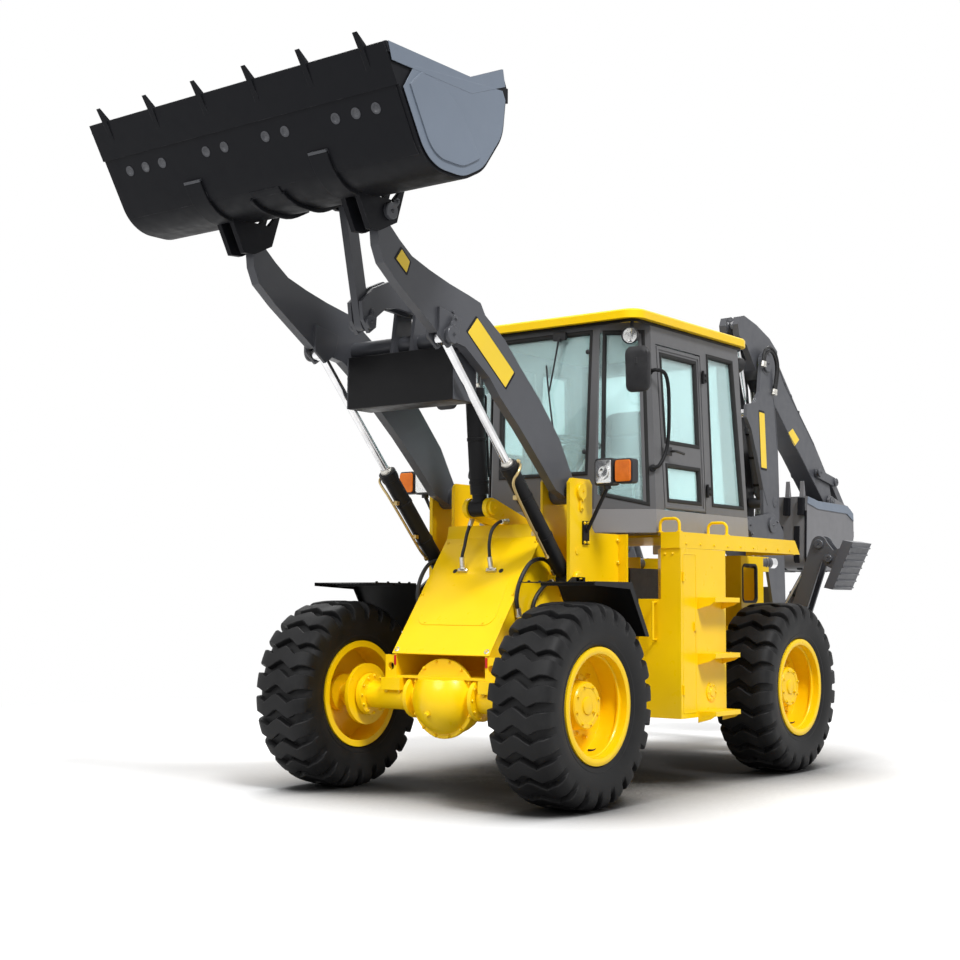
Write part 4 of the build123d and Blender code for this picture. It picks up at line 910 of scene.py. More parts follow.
shells, bowls, lenses, ambers = [], [], [], []
for side in (1, -1):
    white_low, white_high = sorted((side * 650, side * 790))
    amber_low, amber_high = sorted((side * 796, side * 925))
    shells.append(lamp_box(white_low, white_high, 603, 685, 1882, 2050))
    shells.append(lamp_box(amber_low, amber_high, 606, 680, 1890, 2042))
    # The bar that ties the two shells is short on the left; on the right it spans them both.
    tie_low, tie_high = (white_high - 12, amber_low + 12) if side > 0 else (amber_low - 12, white_high + 12)
    shells.append(brick(at(tie_low, 620, 1940), at(tie_high, 670, 1990)))
    shells.append(tube([at(side * 725, 640, z) for z in (1860, 1888)], 0.024, 16))
    x0, x1 = white_low + 14, white_high - 14
    bowls.append(lamp_box(x0, x1, 599, 604, 1896, 2036, 14, 0.002))
    bowls.append(turned([(0, 0.05), (0.004, 0.05), (0.006, 0.03), (0.002, 0.012)],
                        at((x0 + x1) / 2, 600, 1966), [0, -1, 0], 28))
    lenses.append(lamp_box(x0 - 3, x1 + 3, 595, 598.5, 1893, 2039, 16, 0.001))
    ambers.append(lamp_box(amber_low + 8, amber_high - 8, 596, 606, 1900, 2032, 16, 0.004))
lamps = piece("headlamp_shells", shells, plastic, "front")
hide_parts("headlamps")
posts = [tube([at(569, 645, 1600), at(725, 640, 1870)], 0.012, 12),
         brick(at(556, 612, 1522), at(567, 678, 1668))]
piece("headlamp_posts", both(posts), black, "front")
piece("headlamp_bowls", bowls, reflector, "front")
piece("headlamp_lenses", lenses, lens_clear, "front")
piece("indicator_lenses", ambers, lens_amber, "front")
print("front trim made")

# %% [markdown]
# ## The loader bucket
# The bucket is one plate rolled into a trough. Its outside line is needed for everything that is
# welded onto it, so it is worked out once: straight runs joined by arcs. A wear strip is then a
# piece of that line, pushed outwards by its thickness and given a width.

# %% Strips along the bucket's shell
bucket_corners = [(-1908, 3836), (-1592, 3290), (-1300, 3292), (-1130, 3380), (-960, 3600), (-925, 3870)]
bucket_line = rounded(bucket_corners, [0, 240, 240, 240, 240, 0], 10)


def part_of_line(line, start, end, count):
    """Points of a flat line between two distances along it, and the unit normals on its right."""
    line = np.array(line, float)
    lengths = np.concatenate([[0], np.cumsum(np.linalg.norm(np.diff(line, axis=0), axis=1))])
    s = np.linspace(start, end, count)
    points = np.stack([np.interp(s, lengths, line[:, i]) for i in (0, 1)], 1)
    ahead = np.gradient(points, axis=0)
    ahead /= np.linalg.norm(ahead, axis=1)[:, None]
    return points, np.stack([ahead[:, 1], -ahead[:, 0]], 1)


def shell_strips(line, middles, half_width, start, end, thickness, count=14):
    """Strips on a trough's outside round some x: the line, and the same moved out by a thickness."""
    points, normals = part_of_line(line, start, end, count)
    edge = min(3, thickness / 3)
    section = [(-half_width, -2), (-half_width, thickness - edge), (edge - half_width, thickness),
               (half_width - edge, thickness), (half_width, thickness - edge), (half_width, -2)]
    strips = []
    for middle in middles:
        rows = [[at(middle + x, *(p + n * out)) for x, out in section] for p, n in zip(points, normals)]
        strips.append(sheet_of(rows))
    return strips


lug_x = 470
strips = shell_strips(bucket_line, [0], 1080, 135, 560, 5)
strips += shell_strips(bucket_line, (-lug_x, lug_x), 64, 440, 735, 20)
strips += shell_strips(bucket_line, (-120, 120), 10, 600, 1050, 22)
strips += shell_strips(bucket_line, [0], 110, 560, 600, 8)
# The wear strips take the bucket's darkened charcoal, painted shade.
piece("bucket_wear_strips", strips, bucket_painted_shade, "bucket")
strap_ends = shell_strips(bucket_line, (-lug_x, lug_x), 64, 428, 442, 22)
strap_ends += shell_strips(bucket_line, (-760, -385, 0, 385, 760), 70, 120, 134, 9)
piece("bucket_strap_ends", strap_ends, charcoal, "bucket")
print("wear strips follow", len(bucket_line), "points")

# %% [markdown]
# The cutting edge is bolted on: a row of countersunk holes shows on the floor. Each end wall has
# two more plates welded on it, inside the shell's curve, and a heavy bar along its top.

# %% Bucket holes, end plates and bars
lip, heel = np.array(bucket_corners[0]), np.array(bucket_corners[1])
floor_down = (heel - lip) / np.hypot(*(heel - lip))
floor_out = np.array([floor_down[1], -floor_down[0]])
hole_y, hole_z = lip + floor_down * 295 + floor_out * 5
sunk = [(0.0, 0.029), (0.0022, 0.029), (0.003, 0.026), (0.0006, 0.019), (0.0004, 0.002)]
holes = [turned(sunk, at(side * x, hole_y, hole_z), [0, *floor_out], 20)
         for side in (1, -1) for x in (920, 787, 650, 296, 154)]
piece("bucket_edge_holes", holes, charcoal, "bucket")

end_line, end_normals = part_of_line(bucket_line, 230, 1560, 40)
end_plate = np.concatenate([end_line - end_normals * 16, [(-975, 3845), (-1700, 3770)]])
raised_plate = np.concatenate([(end_line - end_normals * 66)[:26],
                               [(-1330, 3640), (-1490, 3735), (-1650, 3752)]])
top_bar = [(-1895, 3838), (-1865, 3752), (-1240, 3757), (-952, 3872), (-972, 3962), (-1253, 3842)]
bucket_side = 1.1045
side_parts = [side_slab(outline, bucket_side, thickness, 0.001) for outline, thickness in
              [(end_plate, 0.003), (raised_plate, 0.011), (top_bar, 0.0035)]]
# The end plates take the lightened charcoal, painted light.
piece("bucket_end_plates", both(side_parts), bucket_painted_light, "bucket")

# %% [markdown]
# ## Pins, plates and pipes of the lift arms
# Every pin shows an end: a disc, a grease nipple and a strap that keeps it from turning. Two blank
# yellow plates with a black border sit on each arm. They are the arm's own slope turned into a
# rounded outline.

# %% Loader pins and plates
def side_plate(x, corners, radius, grow=0.0, lift=0.0, height=2.0):
    """A thin plate on a side face through four side-view corners, grown about its middle in mm."""
    flat = np.array(corners, float)
    middle = flat.mean(0)
    away = flat - middle
    flat = middle + away * (1 + grow / np.linalg.norm(away, axis=1).mean())
    return side_slab(rounded(flat, [radius] * len(flat)), (x + lift) / 1000, height / 1000, 0.0006)


arm_plates = [
    [(-1131, 3006), (-1021, 2927), (-988, 3010), (-1074, 3082)],
    [(-497, 2702), (-111, 2408), (-20, 2516), (-404, 2805)],
]
borders = [side_plate(500, c, 8) for c in arm_plates]
faces = [side_plate(500, c, 6, grow=-16, lift=1.5) for c in arm_plates]
piece("arm_plate_borders", both(borders), black, "arms")
piece("arm_plates", both(faces), yellow_plate, "arms")

arm_parts = pin_head(534, -674, 2650, 1, 0.052) + keeper(534, -674, 2700, 1, radians(60), 0.075)
arm_parts += [weld([(408, -490, 2322), (408, -490, 2628)]), weld([(408, -285, 2322), (408, -285, 2628)])]
arm_parts += bolts([at(500, y, 2790) for y in (-700, -620)], rightwards, 0.009, 0.009)
piece("arm_pins", both(arm_parts), charcoal, "arms")


def beam_shade_rings(inner, outer, x):
    """A black cover round the cross beam, a painted shade: rectangles round the beam at both ends, outside it
    and on it.
    """
    corners = np.array([(-490, 2320), (-285, 2320), (-285, 2630), (-490, 2630)])
    outwards = np.sign(corners - corners.mean(0))
    rows = []
    for place, grow in [(-x, inner), (-x, outer), (x, outer), (x, inner)]:
        ring = rounded(corners + outwards * grow, [6] * 4, 4)
        rows.append([at(place, y, z) for y, z in ring])
    return sheet_of(rows, looped=True)


# The black cover round the charcoal cross beam is painted shade.
piece("beam_painted_shade", [beam_shade_rings(-1, 2, 400)], black, "arms")
lug_parts = pin_head(536, -1214, 3239, 1, 0.047, 0.02) + keeper(536, -1214, 3239, 1, radians(50), 0.1, 0.014)
centre_parts = pin_head(56, -970, 3430, 1, 0.034, 0.012)
piece("bucket_pins", both(lug_parts + centre_parts), charcoal, "bucket")
rocker_parts = pin_head(87, -370, 2920, 1, 0.05, 0.012)
piece("rocker_pivot_ends", both(rocker_parts), charcoal, "arms")
front_pin = pin_head(56, -820, 2750, 1, 0.04, 0.014) + keeper(56, -820, 2750, 1, radians(75), 0.085)
rear_pin = pin_head(56, 190, 2950, 1, 0.036, 0.012)
piece("rocker_pins", both(front_pin + rear_pin), charcoal, "rocker")

# %% [markdown]
# ## Cylinder heads and pipes
# A cylinder's head is a ring that screws into the barrel, with a bright wiper round the rod. A steel
# pipe leads oil from the base to the head, held by bands. Places on a cylinder are given along its
# line, off to one side of it, and across.

# %% Cylinder trim
def on_ram(base, end, x, distance, off=0.0):
    """A place beside a cylinder: a distance from its base towards its end, moved off its line."""
    base, end = np.array(base, float), np.array(end, float)
    d = (end - base) / np.linalg.norm(end - base)
    y, z = base + d * distance + np.array([d[1], -d[0]]) * off
    return at(x, y, z)


def pipe_on_ram(base, end, x, route, radius):
    """A pipe along a cylinder, through places given as distance along, off its line, and across."""
    return tube(smooth_line([on_ram(base, end, x + side, d, off) for d, off, side in route], 8), radius)


def ram_direction(base, end):
    """The unit direction of a cylinder from its base to its end."""
    d = at(0, *end) - at(0, *base)
    return d / np.linalg.norm(d)


def ram_trim(base, end, x, radius, head, rod_radius, bands):
    """The head ring, the bright wiper and the clamp bands of one cylinder."""
    d = ram_direction(base, end)
    place = on_ram(base, end, x, head)
    r, rod = radius / 1000, rod_radius / 1000
    head_ring = [(-0.06, r * 0.99), (-0.058, r * 1.08), (-0.012, r * 1.08), (-0.004, r), (0.004, r * 0.9),
                 (0.004, rod + 0.001)]
    wiper = [(0.0, rod * 1.5), (0.016, rod * 1.5), (0.022, rod * 1.3), (0.03, rod * 1.25),
             (0.031, rod + 0.0006), (0.0, rod + 0.0006)]
    band_ring = [(0, r * 0.99), (0.001, r * 1.07), (0.021, r * 1.07), (0.022, r * 0.99)]
    dark = [hoop(head_ring, place, d, 32)]
    dark += [hoop(band_ring, on_ram(base, end, x, band), d, 32) for band in bands]
    return dark, [hoop(wiper, place, d, 24)]


lift_base, lift_eye = (560, 1310), (-674, 2650)
lift_x = 470
dark, shiny = ram_trim(lift_base, lift_eye, lift_x, 50, 900, 25, (330, 640))
route = [(868, 64, 22), (868, 30, 60), (858, -26, 68), (828, -60, 40), (760, -70, 22), (560, -72, 14),
         (330, -72, 10), (250, -66, 4)]
port, foot = (on_ram(lift_base, lift_eye, lift_x + side, d, off) for d, off, side in (route[0], route[-1]))
across_port = on_ram(lift_base, lift_eye, lift_x, 0, -1) - on_ram(lift_base, lift_eye, lift_x, 0, 0)
across_port /= np.linalg.norm(across_port)
pipe_parts = [pipe_on_ram(lift_base, lift_eye, lift_x, route, 0.0085),
              turned([(-0.004, 0.014), (0.02, 0.014), (0.022, 0.012)], port - across_port * 0.01,
                     across_port, 6),
              turned([(0, 0.013), (0.02, 0.013)], foot, ram_direction(lift_eye, lift_base), 6)]
for distance in (700, 420):
    clamp = on_ram(lift_base, lift_eye, lift_x - 4, distance, -62)
    pipe_parts.append(brick(clamp - 0.014, clamp + 0.014, 0.003))
piece("lift_barrel_bands", both(dark), black, "lift_barrels")
piece("lift_wipers", both(shiny), zinc, "lift_barrels")
piece("lift_pipes", both(pipe_parts), brass, "lift_barrels")

tilt_base, tilt_end = (300, 1750), (190, 2950)
dark, shiny = ram_trim(tilt_base, tilt_end, 0, 58, 750, 25, (150, 420))
for side in (-1, 1):
    route = [(700, 30, 44 * side), (690, 62, 40 * side), (600, 68, 30 * side), (300, 68, 30 * side),
             (190, 66, 34 * side)]
    dark.append(pipe_on_ram(tilt_base, tilt_end, 0, route, 0.008))
piece("tilt_barrel_bands", dark, black, "tilt_barrel")
piece("tilt_wiper", shiny, zinc, "tilt_barrel")
print("loader dressed")

# %% [markdown]
# ## Strips that follow an outline
# A window seal, a rim or a border is one small profile carried round a closed outline. At every
# corner the profile is moved along the mitre, the line that halves the corner, so its width stays
# the same on both sides. The outline lies in a plane that is given as a function.

# %% Strips round outlines
def mitres(flat):
    """For a closed outline, the inward vector at each corner that moves both its sides in by one."""
    area = np.sum(flat[:, 0] * np.roll(flat[:, 1], -1) - np.roll(flat[:, 0], -1) * flat[:, 1])
    ahead = np.roll(flat, -1, 0) - flat
    ahead /= np.linalg.norm(ahead, axis=1)[:, None]
    into = np.stack([-ahead[:, 1], ahead[:, 0]], 1) * np.sign(area)
    before = np.roll(into, 1, 0)
    return (into + before) / (1 + np.sum(into * before, 1))[:, None]


def strip_round(flat, plane, profile):
    """A profile of (inwards, lifted) pairs in mm carried round a closed outline on a plane."""
    flat = np.array(flat, float)
    turn = mitres(flat)
    rings = [plane(flat + turn * inwards, lift) for inwards, lift in profile]
    return sheet_of(np.stack(rings, 1), looped=True)


deck_top, cab_height = 1613, 1372
side_lean, front_lean, back_lean, corner_lean = (inwards / cab_height for inwards in (52, 58, 60, 41))


def side_of_cab(flat, lift):
    """The cab's leaning side: (y, z) pairs in mm, lifted off it."""
    y, z = flat.T
    return wall(757 - (z - deck_top) * side_lean + lift, y, z + lift * side_lean)


def front_of_cab(flat, lift):
    """The cab's leaning front: (x, z) pairs in mm, lifted off it."""
    x, z = flat.T
    return wall(x, 962 + (z - deck_top) * front_lean - lift, z + lift * front_lean)


def back_of_cab(flat, lift):
    """The cab's leaning back: (x, z) pairs in mm, lifted off it."""
    x, z = flat.T
    return wall(x, 2510 - (z - deck_top) * back_lean + lift, z + lift * back_lean)


corner_run = np.array([348, 212]) / np.hypot(348, 212)


def corner_of_cab(flat, lift):
    """The cab's front corner: (along, z) pairs in mm from the middle of the corner wall."""
    along, z = flat.T
    out = lift - (z - deck_top) * corner_lean
    return wall(583 + along * corner_run[0] + out * corner_run[1],
                1068 + along * corner_run[1] - out * corner_run[0], z)


def disc_on(place, direction, *profile, sides=20):
    """One turned part at a place in mm."""
    return turned(profile, at(*place), direction, sides)


# %% [markdown]
# ## Cab glazing
# Each pane sits in a black rubber seal that laps over the sheet metal. The seal's section is a low
# dome outside and a lip on the glass.

# %% Seals
seal_section = [(-13, -1), (-13, 3), (-9, 6), (3, 6), (8, 3), (12, -4), (16, -16), (16, -19.5),
                (2, -19.5), (-2, -1)]
leaf_section = [(a, b - 4) for a, b in seal_section]
rear_pane = [(1935, 1830), (2370, 1830), (2290, 2860), (1935, 2860)]
corner_pane = [(-143.7, 1860), (148.7, 1800), (118.7, 2920), (-128.7, 2920)]
front_pane = [(-345, 2000), (345, 2000), (360, 2930), (-360, 2930)]
back_pane = [(-560, 1830), (560, 1830), (520, 2880), (-520, 2880)]
fixed_seals = [strip_round(pane, plane, seal_section) for pane, plane in
               [(rear_pane, side_of_cab), (corner_pane, corner_of_cab), (front_pane, front_of_cab),
                (back_pane, back_of_cab)]]
fixed_seals += [mirrored(seal) for seal in fixed_seals[:2]]
piece("window_seals", fixed_seals, seal_rubber, "chassis")
door_panes = [[(1345, 1830), (1770, 1830), (1770, 2060), (1337, 2060)],
              [(1335, 2215), (1770, 2215), (1770, 2790), (1310, 2790)]]
door_seals = [strip_round(pane, side_of_cab, leaf_section) for pane in door_panes]
door_outline = [(1282, 1765), (1838, 1765), (1838, 2850), (1245, 2850)]
door_edge = [(12, -4), (12, 0), (14, 2), (30, 2), (32, 0), (32, -4)]
door_edges = [strip_round(door_outline, side_of_cab, door_edge)]
lock = [brick(*np.sort([at(752, 1300, 2120), at(764, 1362, 2178)], axis=0), 0.003)]
lever = [(752, 1350, 2150), (788, 1350, 2150), (796, 1362, 2150), (797, 1400, 2146), (796, 1462, 2140)]
rose = disc_on((737, 1350, 2140), rightwards, (0, 0.016), (0.01, 0.016), (0.012, 0.012))
handle = lock + [wire(lever, 0.009, 6), rose]


def of_side(side, parts):
    """The surfaces as they are for the left side, or their mirror images for the right."""
    return parts if side == "left" else [mirrored(part) for part in parts]


for side in ("left", "right"):
    for kind, parts, look, slot in [("seals", door_seals, seal_rubber, "black_plastic"),
                                    ("edge", door_edges, cab_grey, "charcoal_paint"),
                                    ("handle", handle, plastic, "black_plastic")]:
        piece(f"door_{kind}_{side}", of_side(side, parts), look, f"door_{side}")
upwards = np.array([0, 0, 1.0])
hinges = []
for z in (1920, 2700):
    x = 757 - (z - deck_top) * side_lean + 7
    hinges.append(disc_on((x + 6, 1845, z), upwards, (-0.045, 0.010), (0.045, 0.010), sides=14))
    hinges.append(brick(at(x - 6, 1850, z - 30), at(x + 3, 1905, z + 30), 0.002))
    hinges += bolts([at(x + 3, 1885, z + dz) for dz in (-16, 16)], rightwards, 0.007, 0.006)
piece("door_hinges", both(hinges), black, "chassis")

# %% [markdown]
# The windscreen has a wiper on a shaft below it, clamps at its edges and a grab bar at each corner.
# The mirrors are black shells with a rounded outline; their glass faces the back.

# %% Wiper, clamps, grab bars, mirrors
def front_place(x, z, lift):
    """One place on the windscreen's plane."""
    return front_of_cab(np.array([[x, z]], float), lift)[0]


motor = front_place(120, 2915, 0)
wiper = [tube([front_place(120, 2900, 2), front_place(120, 2900, 30)], 0.014, 14),
         tube([front_place(120, 2900, 24), front_place(80, 2700, 20), front_place(40, 2560, 4)], 0.006, 8),
         brick(motor - [0.05, 0.02, 0.02], motor + [0.05, 0, 0.035], 0.006)]
blade = [front_place(x, z, 2) for x, z in [(75, 2320), (52, 2450), (28, 2600), (10, 2740)]]
wiper.append(tube(smooth_line(blade, 6), 0.006, 8))
clamp = [(-0.004, 0.016), (0.004, 0.016), (0.008, 0.01)]
wiper += [turned(clamp, front_place(side * x, z, 4), [0, -1, 0.04], 16)
          for x, z in [(330, 2140), (340, 2800)] for side in (-1, 1)]
piece("windscreen_fittings", wiper, plastic, "chassis")

bar = [(722, 1150, 2655), (770, 1160, 2662), (792, 1225, 2645), (796, 1262, 2560), (797, 1268, 2400),
       (795, 1262, 2240), (790, 1240, 2140), (772, 1190, 2050), (738, 1160, 2028)]
grab = [wire(bar, 0.0125, sides=12)]
for end in (bar[0], bar[-1]):
    grab.append(disc_on(end, [1, -0.6, 0], (-0.006, 0.024), (0.004, 0.024), (0.006, 0.02)))
piece("grab_bars", both(grab), black, "chassis")

mirror_outline = rounded([(690, 2492), (860, 2492), (860, 2785), (680, 2785)], [45, 45, 55, 45], 7)
mirror_middle = mirror_outline.mean(0)


def mirror_ring(share):
    """The mirror's outline, drawn in towards its middle to a share of its size."""
    return mirror_middle + (mirror_outline - mirror_middle) * share


mirror_rows = []
for share, depth in [(0.72, 905), (0.93, 908), (0.995, 916), (1.0, 926), (0.985, 938), (0.93, 939),
                     (0.9, 934)]:
    x, z = mirror_ring(share).T
    mirror_rows.append(wall(x, depth, z))
mirror_faces = [end_slab(mirror_ring(0.9), 936, 0.0015, 0.0005)]
arm_line = [(712, 1120, 2760), (725, 1060, 2765), (755, 990, 2760), (768, 945, 2740), (770, 925, 2700)]
mirror_shells = [sheet_of(mirror_rows),
                 wire(arm_line, 0.011, sides=12),
                 disc_on((770, 922, 2690), upwards, (-0.02, 0.02), (0.02, 0.02), sides=16)]
mirror_piece = piece("mirror_shells", both(mirror_shells), plastic, "chassis")
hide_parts("mirrors")
piece("mirror_faces", both(mirror_faces), mirror_glass, "chassis")

# %% [markdown]
# ## Roof, work lamps and lining
# Under the yellow roof runs a black gutter, with a round work lamp at each corner. Inside, a pale
# lining covers the roof's underside.

# %% Roof fittings
gutter = rounded([(-715, 985), (715, 985), (715, 2475), (-715, 2475)], [60] * 4)
gutter_section = [(0, 2968), (3, 2984.5), (40, 2984.5), (40, 2974), (14, 2970), (6, 2964)]
roof_ring = strip_round(gutter, lambda flat, height: wall(*flat.T, height), gutter_section)
piece("roof_gutter", [roof_ring], black, "chassis")
lining = [at(x, y, 0)[:2] for x, y in
          [(-600, 1180), (-380, 1075), (380, 1075), (600, 1180), (600, 2360), (-600, 2360)]]
pale_lining = dull("cab_lining", (0.32, 0.32, 0.31), (0.4, 0.4, 0.39), 0.8, 20, 0.0004)
piece("roof_lining", [slab(lining, [0, 0, 2.955], (1, 0, 0), (0, 1, 0), 0.025, 0.006)], pale_lining,
      "chassis")


def work_lamp(x, y, z, turn):
    """A round lamp facing forwards or backwards: its bowl-shaped shell, its reflector and its lens."""
    d = np.array([0.25 * np.sign(x), -turn, -0.12])
    d /= np.linalg.norm(d)
    centre = at(x, y, z)
    shell = [(-0.06, 0.016), (-0.052, 0.034), (-0.02, 0.05), (0.012, 0.056), (0.024, 0.056), (0.026, 0.05),
             (0.016, 0.049)]
    bowl = [(-0.004, 0.012), (0.0, 0.024), (0.01, 0.04), (0.017, 0.048)]
    lens = [(0.017, 0.0485), (0.019, 0.047), (0.023, 0.032), (0.025, 0.01)]
    bracket = tube([centre - d * 0.03, centre - d * 0.03 + [0, 0, 0.1]], 0.012, 10)
    case, bowl, lens = (turned(profile, centre, d, 28) for profile in (shell, bowl, lens))
    return [case, bracket], [bowl], [lens]


front_lamp, back_lamp = work_lamp(655, 1030, 2880, 1), work_lamp(640, 2510, 2880, -1)
for kind, ahead, behind, look, slot in zip(("shells", "bowls", "lenses"), front_lamp, back_lamp,
                                           (plastic, reflector, lens_clear),
                                           ("black_plastic", "chrome_rod", "cab_glass")):
    piece(f"work_lamp_{kind}", both(ahead + behind), look, "chassis")
print("cab dressed")

# %% [markdown]
# ## Deck and side boxes
# The deck's walkways are tread plate: small raised lozenges, turned left and right by turns, that
# give a boot its grip. There are some hundreds, so each has only a few faces. The steps have the
# same tread in a smaller size.

# %% Tread and steps
def lozenges(x0, x1, y0, y1, z, pitch=37, length=24, width=7):
    """Raised bars on a chequered grid, each turned 45 degrees one way or the other."""
    half = np.array([(-1, -0.35), (-0.6, -1), (0.6, -1), (1, -0.35)])
    flat = np.concatenate([half, -half]) * [length / 2, width / 2]
    parts = []
    for i in range(int((x1 - x0) / pitch)):
        for j in range(int((y1 - y0) / pitch)):
            turn = radians(45 if (i + j) % 2 else -45)
            rotation = np.array([[cos(turn), -sin(turn)], [sin(turn), cos(turn)]])
            low, high = flat @ rotation.T, (flat * [0.9, 0.5]) @ rotation.T
            centre = [x0 + (i + 0.5) * pitch, y0 + (j + 0.5) * pitch]
            rows = [wall(*(ring + centre).T, z + up) for ring, up in ((low, -0.5), (low, 0.2), (high, 1.6))]
            parts.append(sheet_of(rows))
    return parts


box_face, step_heights = 950, (480, 845, 1200)
tread = lozenges(772, 940, 1400, 2750, deck_top) + lozenges(840, 940, 1190, 1400, deck_top)
for z in step_heights:
    tread += lozenges(956, 1076, 1356, 1676, z, 26, 17, 6)
piece("walkway_tread", both(tread), yellow, "chassis", 60)

rail = [(769, 1140, 932), (769, 1105, 935), (769, 1100, 950), (769, 1100, 1150), (769, 1105, 1166),
        (769, 1140, 1169)]
cover = [(0, 0.062), (0.006, 0.062), (0.008, 0.058), (0.008, 0.03), (0.014, 0.026), (0.015, 0.01)]
box_parts = [wire(rail, 0.008, 6), disc_on((box_face, 1522, 592), rightwards, *cover, sides=36)]
box_parts += bolts(ring_of(6, 0.048, at(958, 1522, 592), rightwards), rightwards, 0.006, 0.006)
for z in step_heights:
    gusset = [(box_face, z - 30), (1072, z - 30), (1040, z - 50), (box_face, z - 75)]
    box_parts += [end_slab(gusset, y, 0.006, 0.001) for y in (1356, 1680)]


def box_side(flat, lift):
    """The side box's outer face: (y, z) pairs in mm, lifted off it."""
    return wall(box_face + lift, *flat.T)


hatch_line = rounded([(1165, 470), (1335, 470), (1335, 1480), (1165, 1480)], [18] * 4, 4)
hatch_edge = [(0, -1), (0, 1.6), (2, 2.2), (7, 2.2), (9, 1.6), (9, -1)]
box_parts.append(strip_round(hatch_line, box_side, hatch_edge))
box_parts += [disc_on((956, 1165, z), upwards, (-0.03, 0.008), (0.03, 0.008), sides=12) for z in (620, 1330)]
box_parts.append(brick(at(box_face, 1300, 985), at(962, 1326, 1045), 0.004))
box_parts += bolts([at(x, 1140, 1475) for x in (836, 892)], [0, -1, 0], 0.008, 0.007)
box_parts += bolts([at(box_face, y, 1540) for y in np.linspace(1210, 2690, 9)], rightwards, 0.0075, 0.006)
box_parts += [disc_on((x, y, deck_top), upwards, (0, 0.02), (0.006, 0.02), (0.008, 0.014), sides=18)
              for y in (1170, 1800) for x in (785, 925)]
piece("side_box_fittings", both(box_parts), yellow, "chassis")
print("deck and boxes dressed")

# %% [markdown]
# ## The seat
# The cushion and the back are padded cloth. Each starts as a rounded pad a little smaller than its
# place, and is blown up by the Cloth solver, as air in foam would fill its cover. How far a point
# may move is capped. The seams are pressed in afterwards, because the remesh would erase them.

# %% Seat pads
def pad_surface(low, high):
    """A closed pad: a sphere's grid whose directions are pushed out to a rounded box by a power."""
    rings, sides, power = 26, 56, 5.0
    u = np.linspace(-pi / 2, pi / 2, rings + 2)[1:-1, None]
    v = np.arange(sides)[None] * 2 * pi / sides
    direction = np.stack([np.cos(u) * np.cos(v), np.cos(u) * np.sin(v), np.sin(u) + 0 * v], 2)
    reach = np.sum(np.abs(direction) ** power, 2) ** (-1 / power)
    points = (low + high) / 2 + direction * reach[:, :, None] * (high - low) / 2
    return sheet_of(points)


def mesh_points(mesh):
    """A mesh's points as an array."""
    flat = np.empty(len(mesh.vertices) * 3)
    mesh.vertices.foreach_get("co", flat)
    return flat.reshape(-1, 3)


def blown_up(made, voxel, most):
    """Fills a pad: remesh, Cloth with pressure and no gravity for 20 frames, each move capped."""
    scene = bpy.context.scene
    bpy.context.view_layer.objects.active = made
    remesh = made.modifiers.new("remesh", "REMESH")
    remesh.mode, remesh.voxel_size = "VOXEL", voxel
    with bpy.context.temp_override(object=made, active_object=made):
        bpy.ops.object.modifier_apply(modifier="remesh")
    start = mesh_points(made.data)
    cloth = made.modifiers.new("cloth", "CLOTH")
    cloth.settings.use_pressure = True
    cloth.settings.uniform_pressure_force = 4
    cloth.settings.effector_weights.gravity = 0
    for step in range(1, 21):
        scene.frame_set(step)
    done = made.evaluated_get(bpy.context.evaluated_depsgraph_get())
    moved = mesh_points(done.data) - start
    made.modifiers.remove(cloth)
    length = np.linalg.norm(moved, axis=1)[:, None]
    held = start + moved * np.minimum(1, most / np.maximum(length, 1e-9))
    made.data.vertices.foreach_set("co", held.ravel())
    scene.frame_set(1)


def sewn(points, seams, depth, width):
    """Points pressed in towards the pad's middle near each seam: depth * e^-(distance / width)^2."""
    middle = points.mean(0)
    for axis, place, into in seams:
        near = np.exp(-(((points[:, axis] - place) / width) ** 2))
        points[:, into] += np.sign(middle[into] - points[:, into]) * near * depth
    return points


def seat_pad(name, node, low, high, seams):
    """One padded piece that stands for a node, with its seams and one subdivision."""
    made = piece(name, [pad_surface(low, high)], seat_cloth, "chassis", 80)
    blown_up(made, 0.006, 0.012)
    points = sewn(mesh_points(made.data), seams, 0.009, 0.008)
    made.data.vertices.foreach_set("co", points.ravel())
    finer = made.modifiers.new("finer", "SUBSURF")
    finer.levels = finer.render_levels = 1
    made.data.shade_smooth()
    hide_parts(node)
    print(name, "has", len(made.data.vertices), "points")


seat_pad("seat_cushion_pad", "seat_cushion", at(-228, 1690, 1950), at(228, 2100, 2041),
         [(0, -0.12, 2), (0, 0.12, 2), (1, at(0, 1800, 0)[1], 2)])
seat_pad("seat_back_pad", "seat_back", at(-218, 2026, 2062), at(218, 2119, 2548),
         [(0, -0.12, 1), (0, 0.12, 1), (2, 2.2, 1), (2, 2.36, 1)])

# %% [markdown]
# ## The backhoe
# Boom, dipper and bucket turn on pins that pass through side plates. Each pin's ends show as discs
# with a keeper. The three cylinders get their heads, wipers and pipes from the same helper as the
# loader's, and ride on their own barrels.

# %% Backhoe pins and plates
boom_pivot, boom_top, boom_lug, boom_ram_base = (4000, 1797), (3992, 3124), (3690, 2685), (3600, 1780)
dipper_tail, dipper_ram_base, dipper_end = (3700, 3410), (4130, 1990), (5270, 2060)
hoe_rocker_pivot, hoe_rocker_end, hoe_link_end = (5006, 2296), (5361, 2238), (5628, 1978)
bucket_ram_base = (4240, 3330)
boom_side, dipper_side = 130, 85
pin_table = {
    "swing_post": [(161, boom_pivot, 0.062, 20), (161, boom_ram_base, 0.05, -60)],
    "boom": [(134, boom_top, 0.07, 200)],
    "dipper": [(121, hoe_rocker_pivot, 0.036, 120)],
    "hoe_bucket": [(111, dipper_end, 0.042, 200), (111, hoe_link_end, 0.036, 150)],
    "hoe_rocker": [(109, hoe_rocker_end, 0.036, 30)],
}
for body, pins in pin_table.items():
    parts = []
    for x, (y, z), radius, angle in pins:
        parts += pin_head(x, y, z, 1, radius, 0.012)
        if radius > 0.04:
            parts += keeper(x, y, z, 1, radians(angle), radius + 0.05, 0.008)
    piece(f"{body}_pin_ends", both(parts), charcoal, body)

